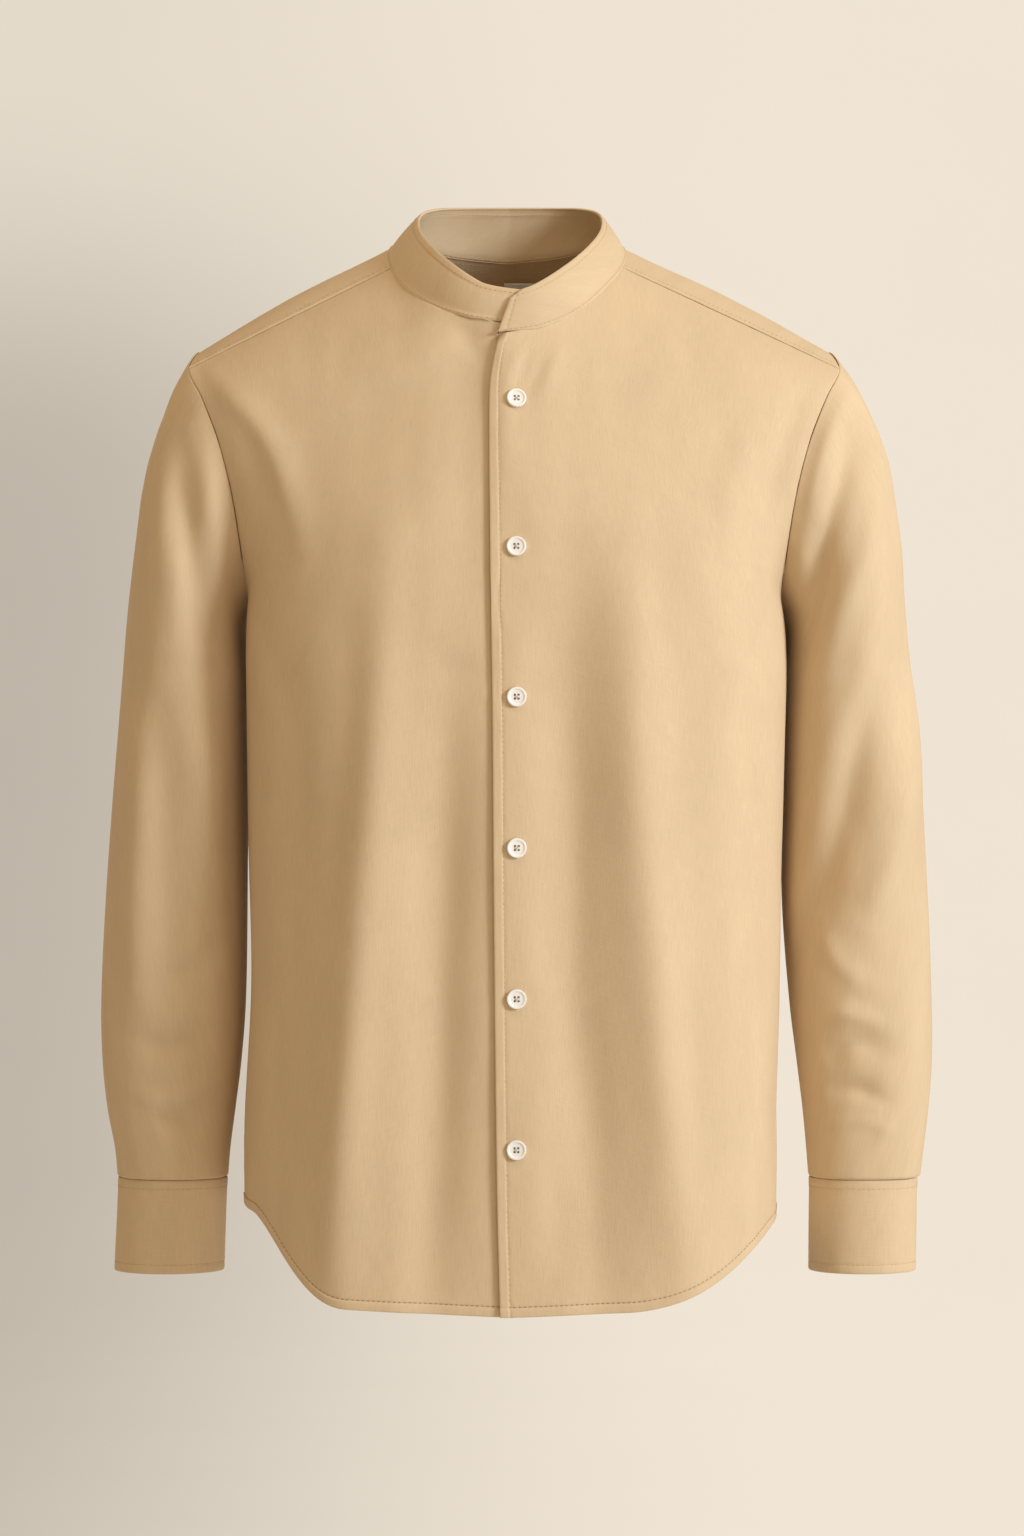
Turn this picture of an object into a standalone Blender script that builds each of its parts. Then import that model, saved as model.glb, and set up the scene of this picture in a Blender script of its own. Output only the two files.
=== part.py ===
"""Mandarin collar shirt, worn shape with no wearer.

Each cut piece of cloth is its own open sheet with a wall thickness. The sheets are worked out
from the neck seam, the armholes, the side seams and the hem, in millimetres, and stand in one
frame: origin at the base of the neck, +Z up, the front facing -Y, the wearer's left at +X.
"""
import math

import bmesh
import bpy
from mathutils import Matrix, Vector

MM = 0.001

# Cloth and seams
CLOTH = 1.2              # one ply of shirt cloth, as a wall
BAND_CLOTH = 2.0         # collar and cuffs, two plies with stiffening
SEAM_PULL = 1.05         # how far a piece's edge stays back from the seam line
UNDERLAP_STEP = 2.6      # how far the under front lies inside the top front

# Front opening
UNDER_FRONT_EDGE = 16.0  # x of the under front's edge, past the centre line
NECK_CENTRE = -5.0       # x of the middle of the neck
CENTRE_LINE = -5.0       # x where the two halves of the fronts meet in shape

# Lengths
CHEST_LEVEL = -252.0     # height of the armpits
HEM_LEVEL = -731.0       # lowest point of the front hem
BACK_TAIL = -20.0        # how much lower the back hem is than the front hem
FRONT_HEM_RISE = {1: 55.0, -1: 68.0}     # how much the front hem climbs to each side seam
BACK_HEM_RISE = {1: 83.0, -1: 88.0}      # the same for the back hem
BACK_HEM_DIP = {1: 8.0, -1: 0.0}         # and how much it drops again just before the seam
FRONT_HEM_CURVE = {1: (0.27, 0.76), -1: (0.36, 0.45)}    # where the hem starts to climb, and for how long
BACK_HEM_CURVE = {1: (0.30, 0.53), -1: (0.32, 0.45)}
YOKE_BACK_LEVEL = -100.0 # height of the yoke seam across the back
CUFF_SEAM = -648.0
CUFF_BOTTOM = -713.0

# Buttons
BUTTON_TOP = -112.5
BUTTON_PITCH = 101.2
BUTTON_COUNT = 6
BUTTON_LINE = 1.5
BUTTON_RADIUS = 6.6
BUTTON_THICK = 2.6

# Edge of the top front. Columns: height, distance from the centre line.
TOP_FRONT_EDGE = (
    (-731, -9.5), (-650, -11.5), (-480, -13.5), (-330, -14.6), (-200, -16.3), (-102, -17), (-84, -15),
    (-66, -10.5),
)

# Neck seam, one half. Columns: distance from the middle, depth, height on the top-front side,
# height on the under-front side. From the centre front round to the centre back.
NECK_SEAM = (
    (0, -88, -66, -60),
    (24, -83, -61.5, -55),
    (49, -67, -49, -46),
    (70, -41, -28, -31),
    (81, -12, -11, -12),
    (81, 20, 4, 4),
    (63, 48, 5, 5),
    (34, 62, 1, 1),
    (0, 66, -2, -2),
)

# Top edge of the collar, one half. Columns: distance from the middle, depth, height.
COLLAR_TOP = (
    (0, -83, -37),
    (16, -79.5, -32.5),
    (36, -65, -19),
    (53, -39, -2.5),
    (63.5, -8, 14),
    (63.5, 20, 28),
    (52, 42, 34.5),
    (30, 54, 36.5),
    (0, 58, 37),
)
COLLAR_TOP_CENTRE = -2.5

# Armhole seam as a closed loop. Columns: distance from the centre line, depth, height.
# From the shoulder point forward, down to the armpit and up the back.
ARMHOLE = (
    (221, 2, -71),
    (226, -30, -86),
    (215, -52, -108),
    (203, -63, -138),
    (194, -66, -172),
    (188, -57, -210),
    (185, -32, -241),
    (184, 2, -252),
    (184, 38, -240),
    (186, 62, -208),
    (192, 72, -170),
    (202, 70, -136),
    (212, 60, -106),
    (219, 34, -82),
)
FRONT_YOKE_CORNER = 1    # row of the armhole table where the front yoke seam ends
ARMPIT = 7
BACK_YOKE_CORNER = 12

# Centre front and centre back outlines. Columns: height, depth.
CENTRE_FRONT = (
    (-60, -87), (-90, -98), (-130, -111), (-180, -124), (-252, -134),
    (-350, -137), (-480, -136), (-600, -135), (-735, -134),
)
CENTRE_BACK = (
    (-2, 66), (-30, 86), (-65, 101), (-100, 109), (-170, 118), (-252, 123),
    (-350, 123), (-450, 119), (-580, 118), (-760, 122),
)

# Side seams. Columns: height, distance from the centre line, depth, turn of the cloth there
# in degrees (90 runs straight back).
SIDE_SEAM_LEFT = (
    (-252, 185.5, 2, 97), (-290, 187, -4, 97), (-350, 186, -8, 97), (-450, 184.5, -12, 95),
    (-560, 184, -26, 90), (-665, 180, -46, 80), (-735, 178, -52, 78),
)
SIDE_SEAM_RIGHT = (
    (-252, 184, 2, 97), (-290, 184, -4, 97), (-350, 183.5, -8, 97), (-450, 183.5, -12, 95),
    (-560, 182.5, -20, 92), (-665, 187, -26, 88), (-735, 187, -28, 88),
)

# Sleeve rings below the armpit. Columns: height, nearest and farthest distance from the centre
# line, front depth, back depth.
SLEEVE_LEFT = (
    (-300, 188.5, 277.5, -68, 82), (-385, 188, 286, -62, 76), (-455, 188, 290, -54, 68),
    (-525, 193, 292.5, -47, 57), (-567, 198, 292.5, -43, 49), (-600, 202, 290, -40, 43),
    (-628, 204.5, 286.5, -38, 37), (CUFF_SEAM, 206, 284, -36.5, 33.5),
)
SLEEVE_RIGHT = (
    (-300, 187.5, 274, -68, 82), (-385, 187, 281, -62, 76), (-455, 187, 286, -54, 68),
    (-525, 188, 289, -47, 57), (-567, 191, 288, -43, 49), (-600, 195, 284.5, -40, 43),
    (-628, 198.5, 279, -38, 37), (CUFF_SEAM, 200, 277, -36.5, 33.5),
)

# Cuff rings. Columns: height, nearest and farthest distance, front depth, back depth.
CUFF_LEFT = ((CUFF_SEAM, 206.5, 282, -35, 32), (CUFF_BOTTOM, 206, 281, -36, 33))
CUFF_RIGHT = ((CUFF_SEAM, 200.5, 276.5, -35, 32), (CUFF_BOTTOM, 202.5, 279.5, -36, 33))

COTTON = (0.69, 0.49, 0.29)
COLOURS = {
    "front_left": COTTON, "front_right": COTTON, "back": COTTON, "yoke": COTTON,
    "sleeve_left": COTTON, "sleeve_right": COTTON, "cuff_left": COTTON, "cuff_right": COTTON,
    "collar": COTTON, "button": (0.86, 0.84, 0.80), "label": (0.88, 0.87, 0.84),
}


# ---------------------------------------------------------------- curves

def smooth(table, station):
    """Columns after the first, interpolated smoothly at a station of the first column."""
    rows = sorted(table)
    last = len(rows) - 1
    station = min(max(station, rows[0][0]), rows[last][0])
    k = 0
    while k < last - 1 and station > rows[k + 1][0]:
        k += 1
    low, high = rows[k], rows[k + 1]
    gap = high[0] - low[0]
    t = (station - low[0]) / gap
    before = rows[max(k - 1, 0)]
    after = rows[min(k + 2, last)]
    result = []
    for c in range(1, len(low)):
        slope_low = (high[c] - before[c]) / (high[0] - before[0])
        slope_high = (after[c] - low[c]) / (after[0] - low[0])
        result.append(
            (2 * t**3 - 3 * t**2 + 1) * low[c]
            + (t**3 - 2 * t**2 + t) * gap * slope_low
            + (3 * t**2 - 2 * t**3) * high[c]
            + (t**3 - t**2) * gap * slope_high
        )
    return result


def catmull(a, b, c, d, t):
    return 0.5 * (2 * b + (c - a) * t + (2 * a - 5 * b + 4 * c - d) * t**2 + (3 * b - a - 3 * c + d) * t**3)


class Path:
    """A smooth curve through points, followed by its length from 0 to 1."""

    def __init__(self, points, closed=False, steps=12):
        points = [Vector(p) for p in points]
        count = len(points)
        spans = count if closed else count - 1
        self.samples = []
        self.marks = []
        for k in range(spans):
            if closed:
                around = [points[(k + i) % count] for i in (-1, 0, 1, 2)]
            else:
                around = [points[min(max(k + i, 0), count - 1)] for i in (-1, 0, 1, 2)]
            self.marks.append(len(self.samples))
            for i in range(steps):
                self.samples.append(catmull(*around, i / steps))
        self.samples.append(points[0] if closed else points[-1])
        self.marks.append(len(self.samples) - 1)
        self.lengths = [0.0]
        for a, b in zip(self.samples, self.samples[1:]):
            self.lengths.append(self.lengths[-1] + (b - a).length)
        self.total = self.lengths[-1]

    def mark(self, row):
        """Where along the curve a row of its table lies."""
        return self.lengths[self.marks[row]] / self.total

    def at(self, share):
        goal = min(max(share, 0.0), 1.0) * self.total
        low, high = 0, len(self.lengths) - 1
        while high - low > 1:
            middle = (low + high) // 2
            if self.lengths[middle] <= goal:
                low = middle
            else:
                high = middle
        gap = self.lengths[high] - self.lengths[low]
        return self.samples[low].lerp(self.samples[high], (goal - self.lengths[low]) / gap)


def bezier(a, b, c, d, t):
    s = 1 - t
    return a * s**3 + b * (3 * s * s * t) + c * (3 * s * t * t) + d * t**3


def ease(value):
    value = min(max(value, 0.0), 1.0)
    return value * value * (3 - 2 * value)


def heading(degrees, side):
    angle = math.radians(degrees)
    return Vector((side * math.cos(angle), math.sin(angle), 0.0))


# ---------------------------------------------------------------- seam lines

def neck_path(side):
    """Neck seam from the centre front to the centre back on one side (+1 left, -1 right)."""
    column = 2 if side > 0 else 3
    return Path([(NECK_CENTRE + side * row[0], row[1], row[column]) for row in NECK_SEAM])


def collar_top_path(side):
    return Path([(COLLAR_TOP_CENTRE + side * row[0], row[1], row[2]) for row in COLLAR_TOP])


def armhole_path(side):
    return Path([(side * row[0], row[1], row[2]) for row in ARMHOLE], closed=True)


def side_seam(side, z):
    x, y, turn = smooth(SIDE_SEAM_LEFT if side > 0 else SIDE_SEAM_RIGHT, z)
    return Vector((side * x, y, z)), turn


NECK = {side: neck_path(side) for side in (1, -1)}
COLLAR_EDGE = {side: collar_top_path(side) for side in (1, -1)}
ARMHOLES = {side: armhole_path(side) for side in (1, -1)}
NECK_FRONT_SEAM = 0.47   # share of the half neck seam where the front yoke seam starts

# Rows of a front, from the yoke seam to the hem. Columns: station, turn at the centre, turn at
# the armhole or side, reach of the curve from the centre, reach from the side.
FRONT_SHAPE = (
    (0.00, -6, -4, 0.33, 0.33),
    (0.08, 0, 28, 0.36, 0.26),
    (0.16, 0, 50, 0.42, 0.17),
    (0.24, 0, 72, 0.47, 0.22),
    (0.32, 0, 84, 0.52, 0.35),
    (0.42, 0, 97, 0.57, 0.49),
    (0.60, 0, 97, 0.58, 0.43),
    (0.80, 0, 94, 0.58, 0.43),
    (1.00, 0, 88, 0.58, 0.42),
)
FRONT_CORNER = 0.20      # station of the corner between neck and front edge
FRONT_CHEST = 0.42       # station of the armpit

BACK_SHAPE = (
    (0.00, 0, 22, 0.36, 0.30),
    (0.10, 0, 46, 0.40, 0.21),
    (0.20, 0, 72, 0.46, 0.25),
    (0.27, 0, 86, 0.50, 0.34),
    (0.34, 0, 90, 0.54, 0.40),
    (0.55, 0, 90, 0.56, 0.42),
    (0.80, 0, 92, 0.56, 0.42),
    (1.00, 0, 96, 0.56, 0.44),
)
BACK_CHEST = 0.34


def row_curve(inner, outer, turn_in, turn_out, reach_in, reach_out, side, t):
    """A row of a panel, leaving its inner end and meeting its outer end in set directions."""
    chord = outer - inner
    flat = math.hypot(chord.x, chord.y)
    start = inner + heading(turn_in, side) * flat * reach_in
    start.z = inner.z + chord.z * reach_in
    stop = outer - heading(turn_out, side) * flat * reach_out
    stop.z = outer.z - chord.z * reach_out
    return bezier(inner, start, stop, outer, t)


def hem_lift(t, rise, curve):
    """Height of the curved hem above its lowest point, across from centre (0) to side (1)."""
    start, length = curve
    return rise * (0.2 * t + 0.8 * ease((t - start) / length))


def front_level(owner, v):
    """Height of the centre front at a station below the neck corner of the front it belongs to."""
    top = NECK[owner].at(0).z
    if v <= FRONT_CHEST:
        return top + (CHEST_LEVEL - top) * (v - FRONT_CORNER) / (FRONT_CHEST - FRONT_CORNER)
    return CHEST_LEVEL + (HEM_LEVEL - CHEST_LEVEL) * (v - FRONT_CHEST) / (1 - FRONT_CHEST)


def half_front(side, t, v, owner):
    """Point of one side of the fronts, from the neck or centre line (t 0) to the side (t 1)."""
    armhole = ARMHOLES[side]
    corner = armhole.mark(FRONT_YOKE_CORNER)
    pit = armhole.mark(ARMPIT)
    if v < FRONT_CORNER:
        inner = NECK[side].at(NECK_FRONT_SEAM * (1 - v / FRONT_CORNER))
    else:
        z = front_level(owner, v)
        inner = Vector((CENTRE_LINE, smooth(CENTRE_FRONT, z)[0], z))
    turn_in, turn_out, reach_in, reach_out = smooth(FRONT_SHAPE, v)
    lift = 0.0
    if v <= FRONT_CHEST:
        outer = armhole.at(corner + (pit - corner) * v / FRONT_CHEST)
    else:
        outer, turn_out = side_seam(side, z)
        lift = hem_lift(t, FRONT_HEM_RISE[side], FRONT_HEM_CURVE[side]) * (v - FRONT_CHEST) / (1 - FRONT_CHEST)
    point = row_curve(inner, outer, turn_in, turn_out, reach_in, reach_out, side, t)
    point.z += lift
    return point


def station_at_x(side, v, x, owner):
    """Where a row of one side reaches a given x near the centre."""
    low, high = 0.0, 0.5
    for _ in range(24):
        middle = (low + high) / 2
        if abs(half_front(side, middle, v, owner).x - CENTRE_LINE) < abs(x - CENTRE_LINE):
            low = middle
        else:
            high = middle
    return (low + high) / 2


def front_edge(side, v):
    """Station of a front's centre edge, which lies past the centre line on the other side."""
    if v < FRONT_CORNER - 1e-6:
        return 0.0
    if side > 0:
        edge = smooth(TOP_FRONT_EDGE, front_level(side, v))[0]
    else:
        edge = UNDER_FRONT_EDGE
    return -station_at_x(-side, v, edge, side)


def front_point(side, share, v, edges={}):
    """Point of a front: share across from its centre edge (0) to the side (1), v from yoke to hem."""
    if (side, v) not in edges:
        edges[side, v] = front_edge(side, v)
    t = edges[side, v] + (1 - edges[side, v]) * share
    if t < 0:
        return half_front(-side, -t, v, side)
    return half_front(side, t, v, side)


def back_point(side, t, v):
    """Point of the back: t from the centre (0) to the side (1), v from the yoke seam to the hem."""
    armhole = ARMHOLES[side]
    corner = armhole.mark(BACK_YOKE_CORNER)
    pit = armhole.mark(ARMPIT)
    bottom = HEM_LEVEL + BACK_TAIL
    if v <= BACK_CHEST:
        z = YOKE_BACK_LEVEL + (CHEST_LEVEL - YOKE_BACK_LEVEL) * v / BACK_CHEST
        outer = armhole.at(corner + (pit - corner) * v / BACK_CHEST)
        lift = 0.0
    else:
        share = (v - BACK_CHEST) / (1 - BACK_CHEST)
        z = CHEST_LEVEL + (bottom - CHEST_LEVEL) * share
        outer, turn = side_seam(side, CHEST_LEVEL + (HEM_LEVEL - CHEST_LEVEL) * share)
        outer = Vector((outer.x, outer.y, z))
        lift = share * (hem_lift(t, BACK_HEM_RISE[side], BACK_HEM_CURVE[side])
                        - BACK_HEM_DIP[side] * ease((t - 0.82) / 0.18))
    inner = Vector((0.0, smooth(CENTRE_BACK, z)[0], z))
    turn_in, turn_out, reach_in, reach_out = smooth(BACK_SHAPE, v)
    if v > BACK_CHEST:
        turn_out = 180 - turn
    chord = outer - inner
    flat = math.hypot(chord.x, chord.y)
    start = inner + Vector((side * flat * reach_in, 0, chord.z * reach_in))
    angle = math.radians(turn_out)
    leave = Vector((side * math.cos(angle), -math.sin(angle), 0.0))
    stop = outer - leave * flat * reach_out
    stop.z = outer.z - chord.z * reach_out
    point = bezier(inner, start, stop, outer, t)
    point.z += lift
    return point


def yoke_outline(side, share):
    """Outer edge of half the yoke, from the front seam (0) by the armhole to the centre back (1)."""
    armhole = ARMHOLES[side]
    front = armhole.mark(FRONT_YOKE_CORNER)
    back = armhole.mark(BACK_YOKE_CORNER)
    if share <= YOKE_ARMHOLE_SHARE:
        place = front - (front + 1 - back) * share / YOKE_ARMHOLE_SHARE
        return armhole.at(place % 1.0)
    return back_point(side, (1 - share) / (1 - YOKE_ARMHOLE_SHARE), 0.0)


YOKE_ARMHOLE_SHARE = 0.45
SHOULDER_CROWN = 5.0     # how much the shoulder rounds up above a straight line


def yoke_point(side, share, t):
    """Point of the yoke: share from the front seam to the centre back, t from the neck outwards."""
    inner = NECK[side].at(NECK_FRONT_SEAM + (1 - NECK_FRONT_SEAM) * share)
    outer = yoke_outline(side, share)
    chord = outer - inner
    behind = ease((share - 0.25) / 0.6)
    level = chord * 0.36
    start = inner + Vector((level.x, level.y * (1 + 0.25 * behind), level.z * (1 - 0.45 * behind)))
    stop = outer - Vector((level.x, level.y * (1 - 0.78 * behind), level.z * (1 + 0.35 * behind)))
    point = bezier(inner, start, stop, outer, t)
    point.z += SHOULDER_CROWN * math.sin(math.pi * t) * (1 - behind)
    # the front seam is the front panel's top row
    if share < 0.2:
        seam = half_front(side, t, 0.0, side)
        point = seam.lerp(point, ease(share / 0.2))
    return point


def ring_point(table, side, z, share):
    """Point of a sleeve or cuff ring. share 0 is the outer side, 0.25 the front, 0.5 the inner."""
    near, far, front, back = smooth(table, z)
    angle = 2 * math.pi * share
    across = math.cos(angle)
    along = math.sin(angle)
    power = 0.92
    x = (near + far) / 2 + (far - near) / 2 * math.copysign(abs(across) ** power, across)
    y = (front + back) / 2 - (back - front) / 2 * math.copysign(abs(along) ** power, along)
    return Vector((side * x, y, z))


SLEEVE_START_RING = -300.0
SHOULDER_LEAVE = {1: (0.60, 0.78), -1: (0.48, 0.87)}  # how far out and down the sleeve sets off
SLEEVE_CAP = 0.42        # share of the sleeve grid above the first ring


def sleeve_leave(side, share):
    """Direction in which the sleeve leaves the armhole, by its place round the hole."""
    top = 0.5 + 0.5 * math.cos(2 * math.pi * share)
    low = 1 - top
    spread_out, drop = SHOULDER_LEAVE[side]
    front = math.sin(2 * math.pi * share)
    return Vector((side * (spread_out * top + 0.60 * low + 0.15 * abs(front)),
                   -0.28 * front,
                   -(drop * top + 0.80 * low))).normalized()


def sleeve_point(side, share, v):
    """Point of a sleeve: share round it as in ring_point, v from the armhole to the cuff."""
    table = SLEEVE_LEFT if side > 0 else SLEEVE_RIGHT
    if v >= SLEEVE_CAP:
        z = SLEEVE_START_RING + (CUFF_SEAM - SLEEVE_START_RING) * (v - SLEEVE_CAP) / (1 - SLEEVE_CAP)
        return ring_point(table, side, z, share)
    start = ARMHOLES[side].at(armhole_share(side, share))
    stop = ring_point(table, side, SLEEVE_START_RING, share)
    down = stop - ring_point(table, side, SLEEVE_START_RING - 10, share)
    down = down.normalized()
    span = (stop - start).length
    begin = start + sleeve_leave(side, share) * span * 0.34
    finish = stop + down * span * 0.36
    return bezier(start, begin, finish, stop, v / SLEEVE_CAP)


def armhole_share(side, share):
    """Match the sleeve's share (0.5 at the armpit) to the armhole's length."""
    pit = ARMHOLES[side].mark(ARMPIT)
    if share <= 0.5:
        return pit * share / 0.5
    return pit + (1 - pit) * (share - 0.5) / 0.5


def sleeve_share(side, place):
    """The sleeve's share at a place along the armhole, the other way round."""
    pit = ARMHOLES[side].mark(ARMPIT)
    if place <= pit:
        return 0.5 * place / pit
    return 0.5 + 0.5 * (place - pit) / (1 - pit)


# ---------------------------------------------------------------- folds

def fold(point, path, width, depth):
    """Depth of one soft fold at a point: path is (x, z) places from its start to its end."""
    best = None
    total = 0.0
    for a, b in zip(path, path[1:]):
        total += math.hypot(b[0] - a[0], b[1] - a[1])
    gone = 0.0
    for a, b in zip(path, path[1:]):
        dx, dz = b[0] - a[0], b[1] - a[1]
        length = math.hypot(dx, dz)
        t = ((point.x - a[0]) * dx + (point.z - a[1]) * dz) / length**2
        t = min(max(t, 0.0), 1.0)
        off = math.hypot(point.x - a[0] - t * dx, point.z - a[1] - t * dz)
        place = (gone + t * length) / total
        if best is None or off < best[0]:
            best = (off, place)
        gone += length
    off, place = best
    if off > 2.2 * width:
        return 0.0
    taper = math.sin(math.pi * min(max(place, 0.04), 0.96)) ** 0.6
    return depth * taper * math.exp(-((off / width) ** 2))


# Folds on the fronts. Columns: path across the front as (x, z) places, width, depth (out is +).
FRONT_FOLDS = (
    (((57, -240), (56, -357), (60, -485), (71, -618), (80, -760)), 19, -6.5),
    (((92, -215), (118, -384), (144, -551), (156, -700)), 22, 4.5),
    (((-68, -225), (-75, -350), (-84, -485), (-95, -652), (-101, -760)), 21, 6.5),
    (((-24, -380), (-29, -518), (-36, -760)), 15, -4.5),
    (((-122, -260), (-136, -518), (-142, -740)), 24, -5.0),
    (((-207, -96), (-174, -131), (-157, -166), (-146, -210)), 10, 4.0),
    (((200, -104), (187, -138), (174, -180), (166, -228)), 10, -4.0),
)
BACK_FOLDS = (
    (((-62, -115), (-74, -300), (-92, -520), (-100, -780)), 22, 6.0),
    (((66, -115), (80, -300), (90, -520), (104, -780)), 22, 6.0),
    (((0, -200), (-6, -420), (4, -780)), 26, -5.0),
    (((-140, -190), (-146, -420), (-150, -740)), 20, -4.0),
    (((142, -190), (148, -420), (150, -740)), 20, -4.0),
)
# Folds on the front half and the back half of each sleeve.
SLEEVE_FRONT_FOLDS = {
    1: (
        (((236, -120), (222, -175), (203, -240), (196, -290)), 9, -6.0),
        (((250, -135), (236, -190), (214, -262), (202, -320)), 10, 5.0),
        (((272, -290), (250, -345), (222, -400), (204, -450)), 14, -7.0),
        (((262, -560), (236, -552), (212, -566)), 8, -3.5),
    ),
    -1: (
        (((-230, -118), (-222, -165), (-208, -215), (-196, -270)), 9, 5.5),
        (((-240, -130), (-236, -185), (-222, -250), (-210, -300)), 9, -5.0),
        (((-246, -215), (-234, -330), (-226, -430), (-226, -540)), 13, 4.5),
        (((-262, -548), (-240, -556), (-218, -548)), 8, -3.5),
    ),
}
SLEEVE_BACK_FOLDS = {
    side: (
        (((side * 236, -130), (side * 222, -200), (side * 204, -290)), 10, -5.0),
        (((side * 262, -330), (side * 238, -400), (side * 210, -430)), 14, -6.0),
        (((side * 252, -500), (side * 236, -560), (side * 222, -610)), 10, 3.5),
    )
    for side in (1, -1)
}


SLEEVE_TUCK = 7.0        # how far the sleeve's inner side bulges behind the body, below the armpit


def sleeve_tuck(point):
    """Bulge of the sleeve's inner side towards the back of the body."""
    if point.y < 0 or abs(point.x) > 226:
        return 0.0
    across = math.exp(-(((point.y - 38) / 17) ** 2)) * ease((226 - abs(point.x)) / 16)
    return SLEEVE_TUCK * across * ease((-258 - point.z) / 30) * ease((point.z + 440) / 80)


# ---------------------------------------------------------------- sheets

def grid_of(function, across, down):
    return [[function(t, v) for t in across] for v in down]


def spread(start, stop, count):
    return [start + (stop - start) * k / count for k in range(count + 1)]


def grid_normals(grid, wrap, toward):
    """Unit normals of a grid, all facing away from the point that toward(point) gives."""
    rows, columns = len(grid), len(grid[0])
    normals = []
    vote = 0.0
    for r in range(rows):
        line = []
        for c in range(columns):
            left = grid[r][(c - 1) % columns] if wrap else grid[r][max(c - 1, 0)]
            right = grid[r][(c + 1) % columns] if wrap else grid[r][min(c + 1, columns - 1)]
            down = grid[min(r + 1, rows - 1)][c] - grid[max(r - 1, 0)][c]
            normal = (right - left).cross(down).normalized()
            vote += normal.dot(grid[r][c] - toward(grid[r][c]))
            line.append(normal)
        normals.append(line)
    if vote < 0:
        normals = [[-normal for normal in line] for line in normals]
    return normals, vote > 0


def push(grid, normals, amount):
    """Move every point of a grid along its normal by amount(point)."""
    return [
        [point + normal * amount(point) for point, normal in zip(line, row)]
        for line, row in zip(grid, normals)
    ]


def draw_in(edge, inner, wrap=False):
    """Points of an edge moved towards the inner line, square to the edge, by the seam pull."""
    moved = []
    last = len(edge) - 1
    for k, point in enumerate(edge):
        before = edge[k - 1] if k > 0 or wrap else edge[0]
        after = edge[(k + 1) % len(edge)] if k < last or wrap else edge[last]
        along = (after - before).normalized()
        toward = inner[k] - point
        toward -= along * toward.dot(along)
        moved.append(point + toward.normalized() * SEAM_PULL)
    return moved


def pull_back(grid, edges, wrap=False):
    """Draw the named edges of a grid back from their seams."""
    grid = [list(line) for line in grid]
    if "top" in edges:
        grid[0] = draw_in(grid[0], grid[1], wrap)
    if "bottom" in edges:
        grid[-1] = draw_in(grid[-1], grid[-2], wrap)
    for name, column, beside in (("start", 0, 1), ("end", -1, -2)):
        if name in edges:
            moved = draw_in([line[column] for line in grid], [line[beside] for line in grid])
            for line, point in zip(grid, moved):
                line[column] = point
    return grid


def principled(name, colour, roughness):
    material = bpy.data.materials.new(name)
    material.use_nodes = True
    shader = material.node_tree.nodes["Principled BSDF"]
    shader.inputs["Base Color"].default_value = (*colour, 1.0)
    shader.inputs["Roughness"].default_value = roughness
    shader.inputs["Metallic"].default_value = 0.0
    return material


def finish(item, collection, colour, roughness):
    collection.objects.link(item)
    item.data.materials.append(principled(item.name, COLOURS[colour], roughness))
    return item


def cloth_sheet(name, grid, wrap, outward, thickness, collection, colour=None):
    """Open grid of quads, turned outwards and given its wall on the inner side."""
    columns = len(grid[0])
    mesh = bpy.data.meshes.new(name)
    points = [point * MM for line in grid for point in line]
    faces = []
    for r in range(len(grid) - 1):
        for c in range(columns if wrap else columns - 1):
            a = r * columns + c
            b = r * columns + (c + 1) % columns
            quad = (a, b, b + columns, a + columns)
            faces.append(quad if outward else quad[::-1])
    mesh.from_pydata(points, [], faces)
    item = bpy.data.objects.new(name, mesh)
    wall = item.modifiers.new("Wall", "SOLIDIFY")
    wall.thickness = thickness * MM
    wall.offset = -1.0
    wall.use_even_offset = True
    return finish(item, collection, colour or name, 0.85)


def torso_axis(point):
    return Vector((0.0, 0.0, min(point.z, -110.0) - 40.0))


def lap_step(x, z):
    """How far the under side of the front opening lies inside, near the centre."""
    deeper = 1.5 * ease((z + 150) / 60)
    return (UNDERLAP_STEP + deeper) * ease((x + 62) / 34)


def seam_fade(point):
    """Folds die away towards the side seam."""
    return ease((190 - abs(point.x)) / 26) if point.z < CHEST_LEVEL else 1.0


def add_fold_depths(point, table):
    return sum(fold(point, path, width, depth) for path, width, depth in table)


NECK_ROWS = spread(0, FRONT_CORNER - 0.02, 4)
FRONT_ROWS = NECK_ROWS + spread(FRONT_CORNER, FRONT_CHEST, 6)
BACK_ROWS = spread(0, BACK_CHEST, 6)
YOKE_COLUMNS = spread(0, YOKE_ARMHOLE_SHARE, 5)


def make_fronts(collection):
    """Both fronts; returns the grid of the top front for what is sewn on it."""
    down = FRONT_ROWS + spread(FRONT_CHEST, 1, 13)[1:]
    for side, name in ((-1, "front_right"), (1, "front_left")):
        grid = grid_of(lambda t, v: front_point(side, t, v), spread(0, 1, 13), down)
        normals, outward = grid_normals(grid, False, torso_axis)

        def amount(point):
            depth = add_fold_depths(point, FRONT_FOLDS) * seam_fade(point)
            if side < 0:
                depth -= lap_step(point.x, point.z)
            return depth

        grid = push(grid, normals, amount)
        grid = pull_back(grid, ("top", "end"))
        # the neck line is pulled back too, down to the front corner
        corner = len(NECK_ROWS)
        for r in range(1, corner):
            share = r / corner
            inward = (grid[r][1] - grid[r][0]).normalized()
            grid[r][0] += (inward * (1 - share) + Vector((0, 0, -share))) * SEAM_PULL
        for c in range(2):
            grid[corner][c].z -= SEAM_PULL * (1 - c / 2)
        cloth_sheet(name, grid, False, outward, CLOTH, collection)
    return grid


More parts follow.
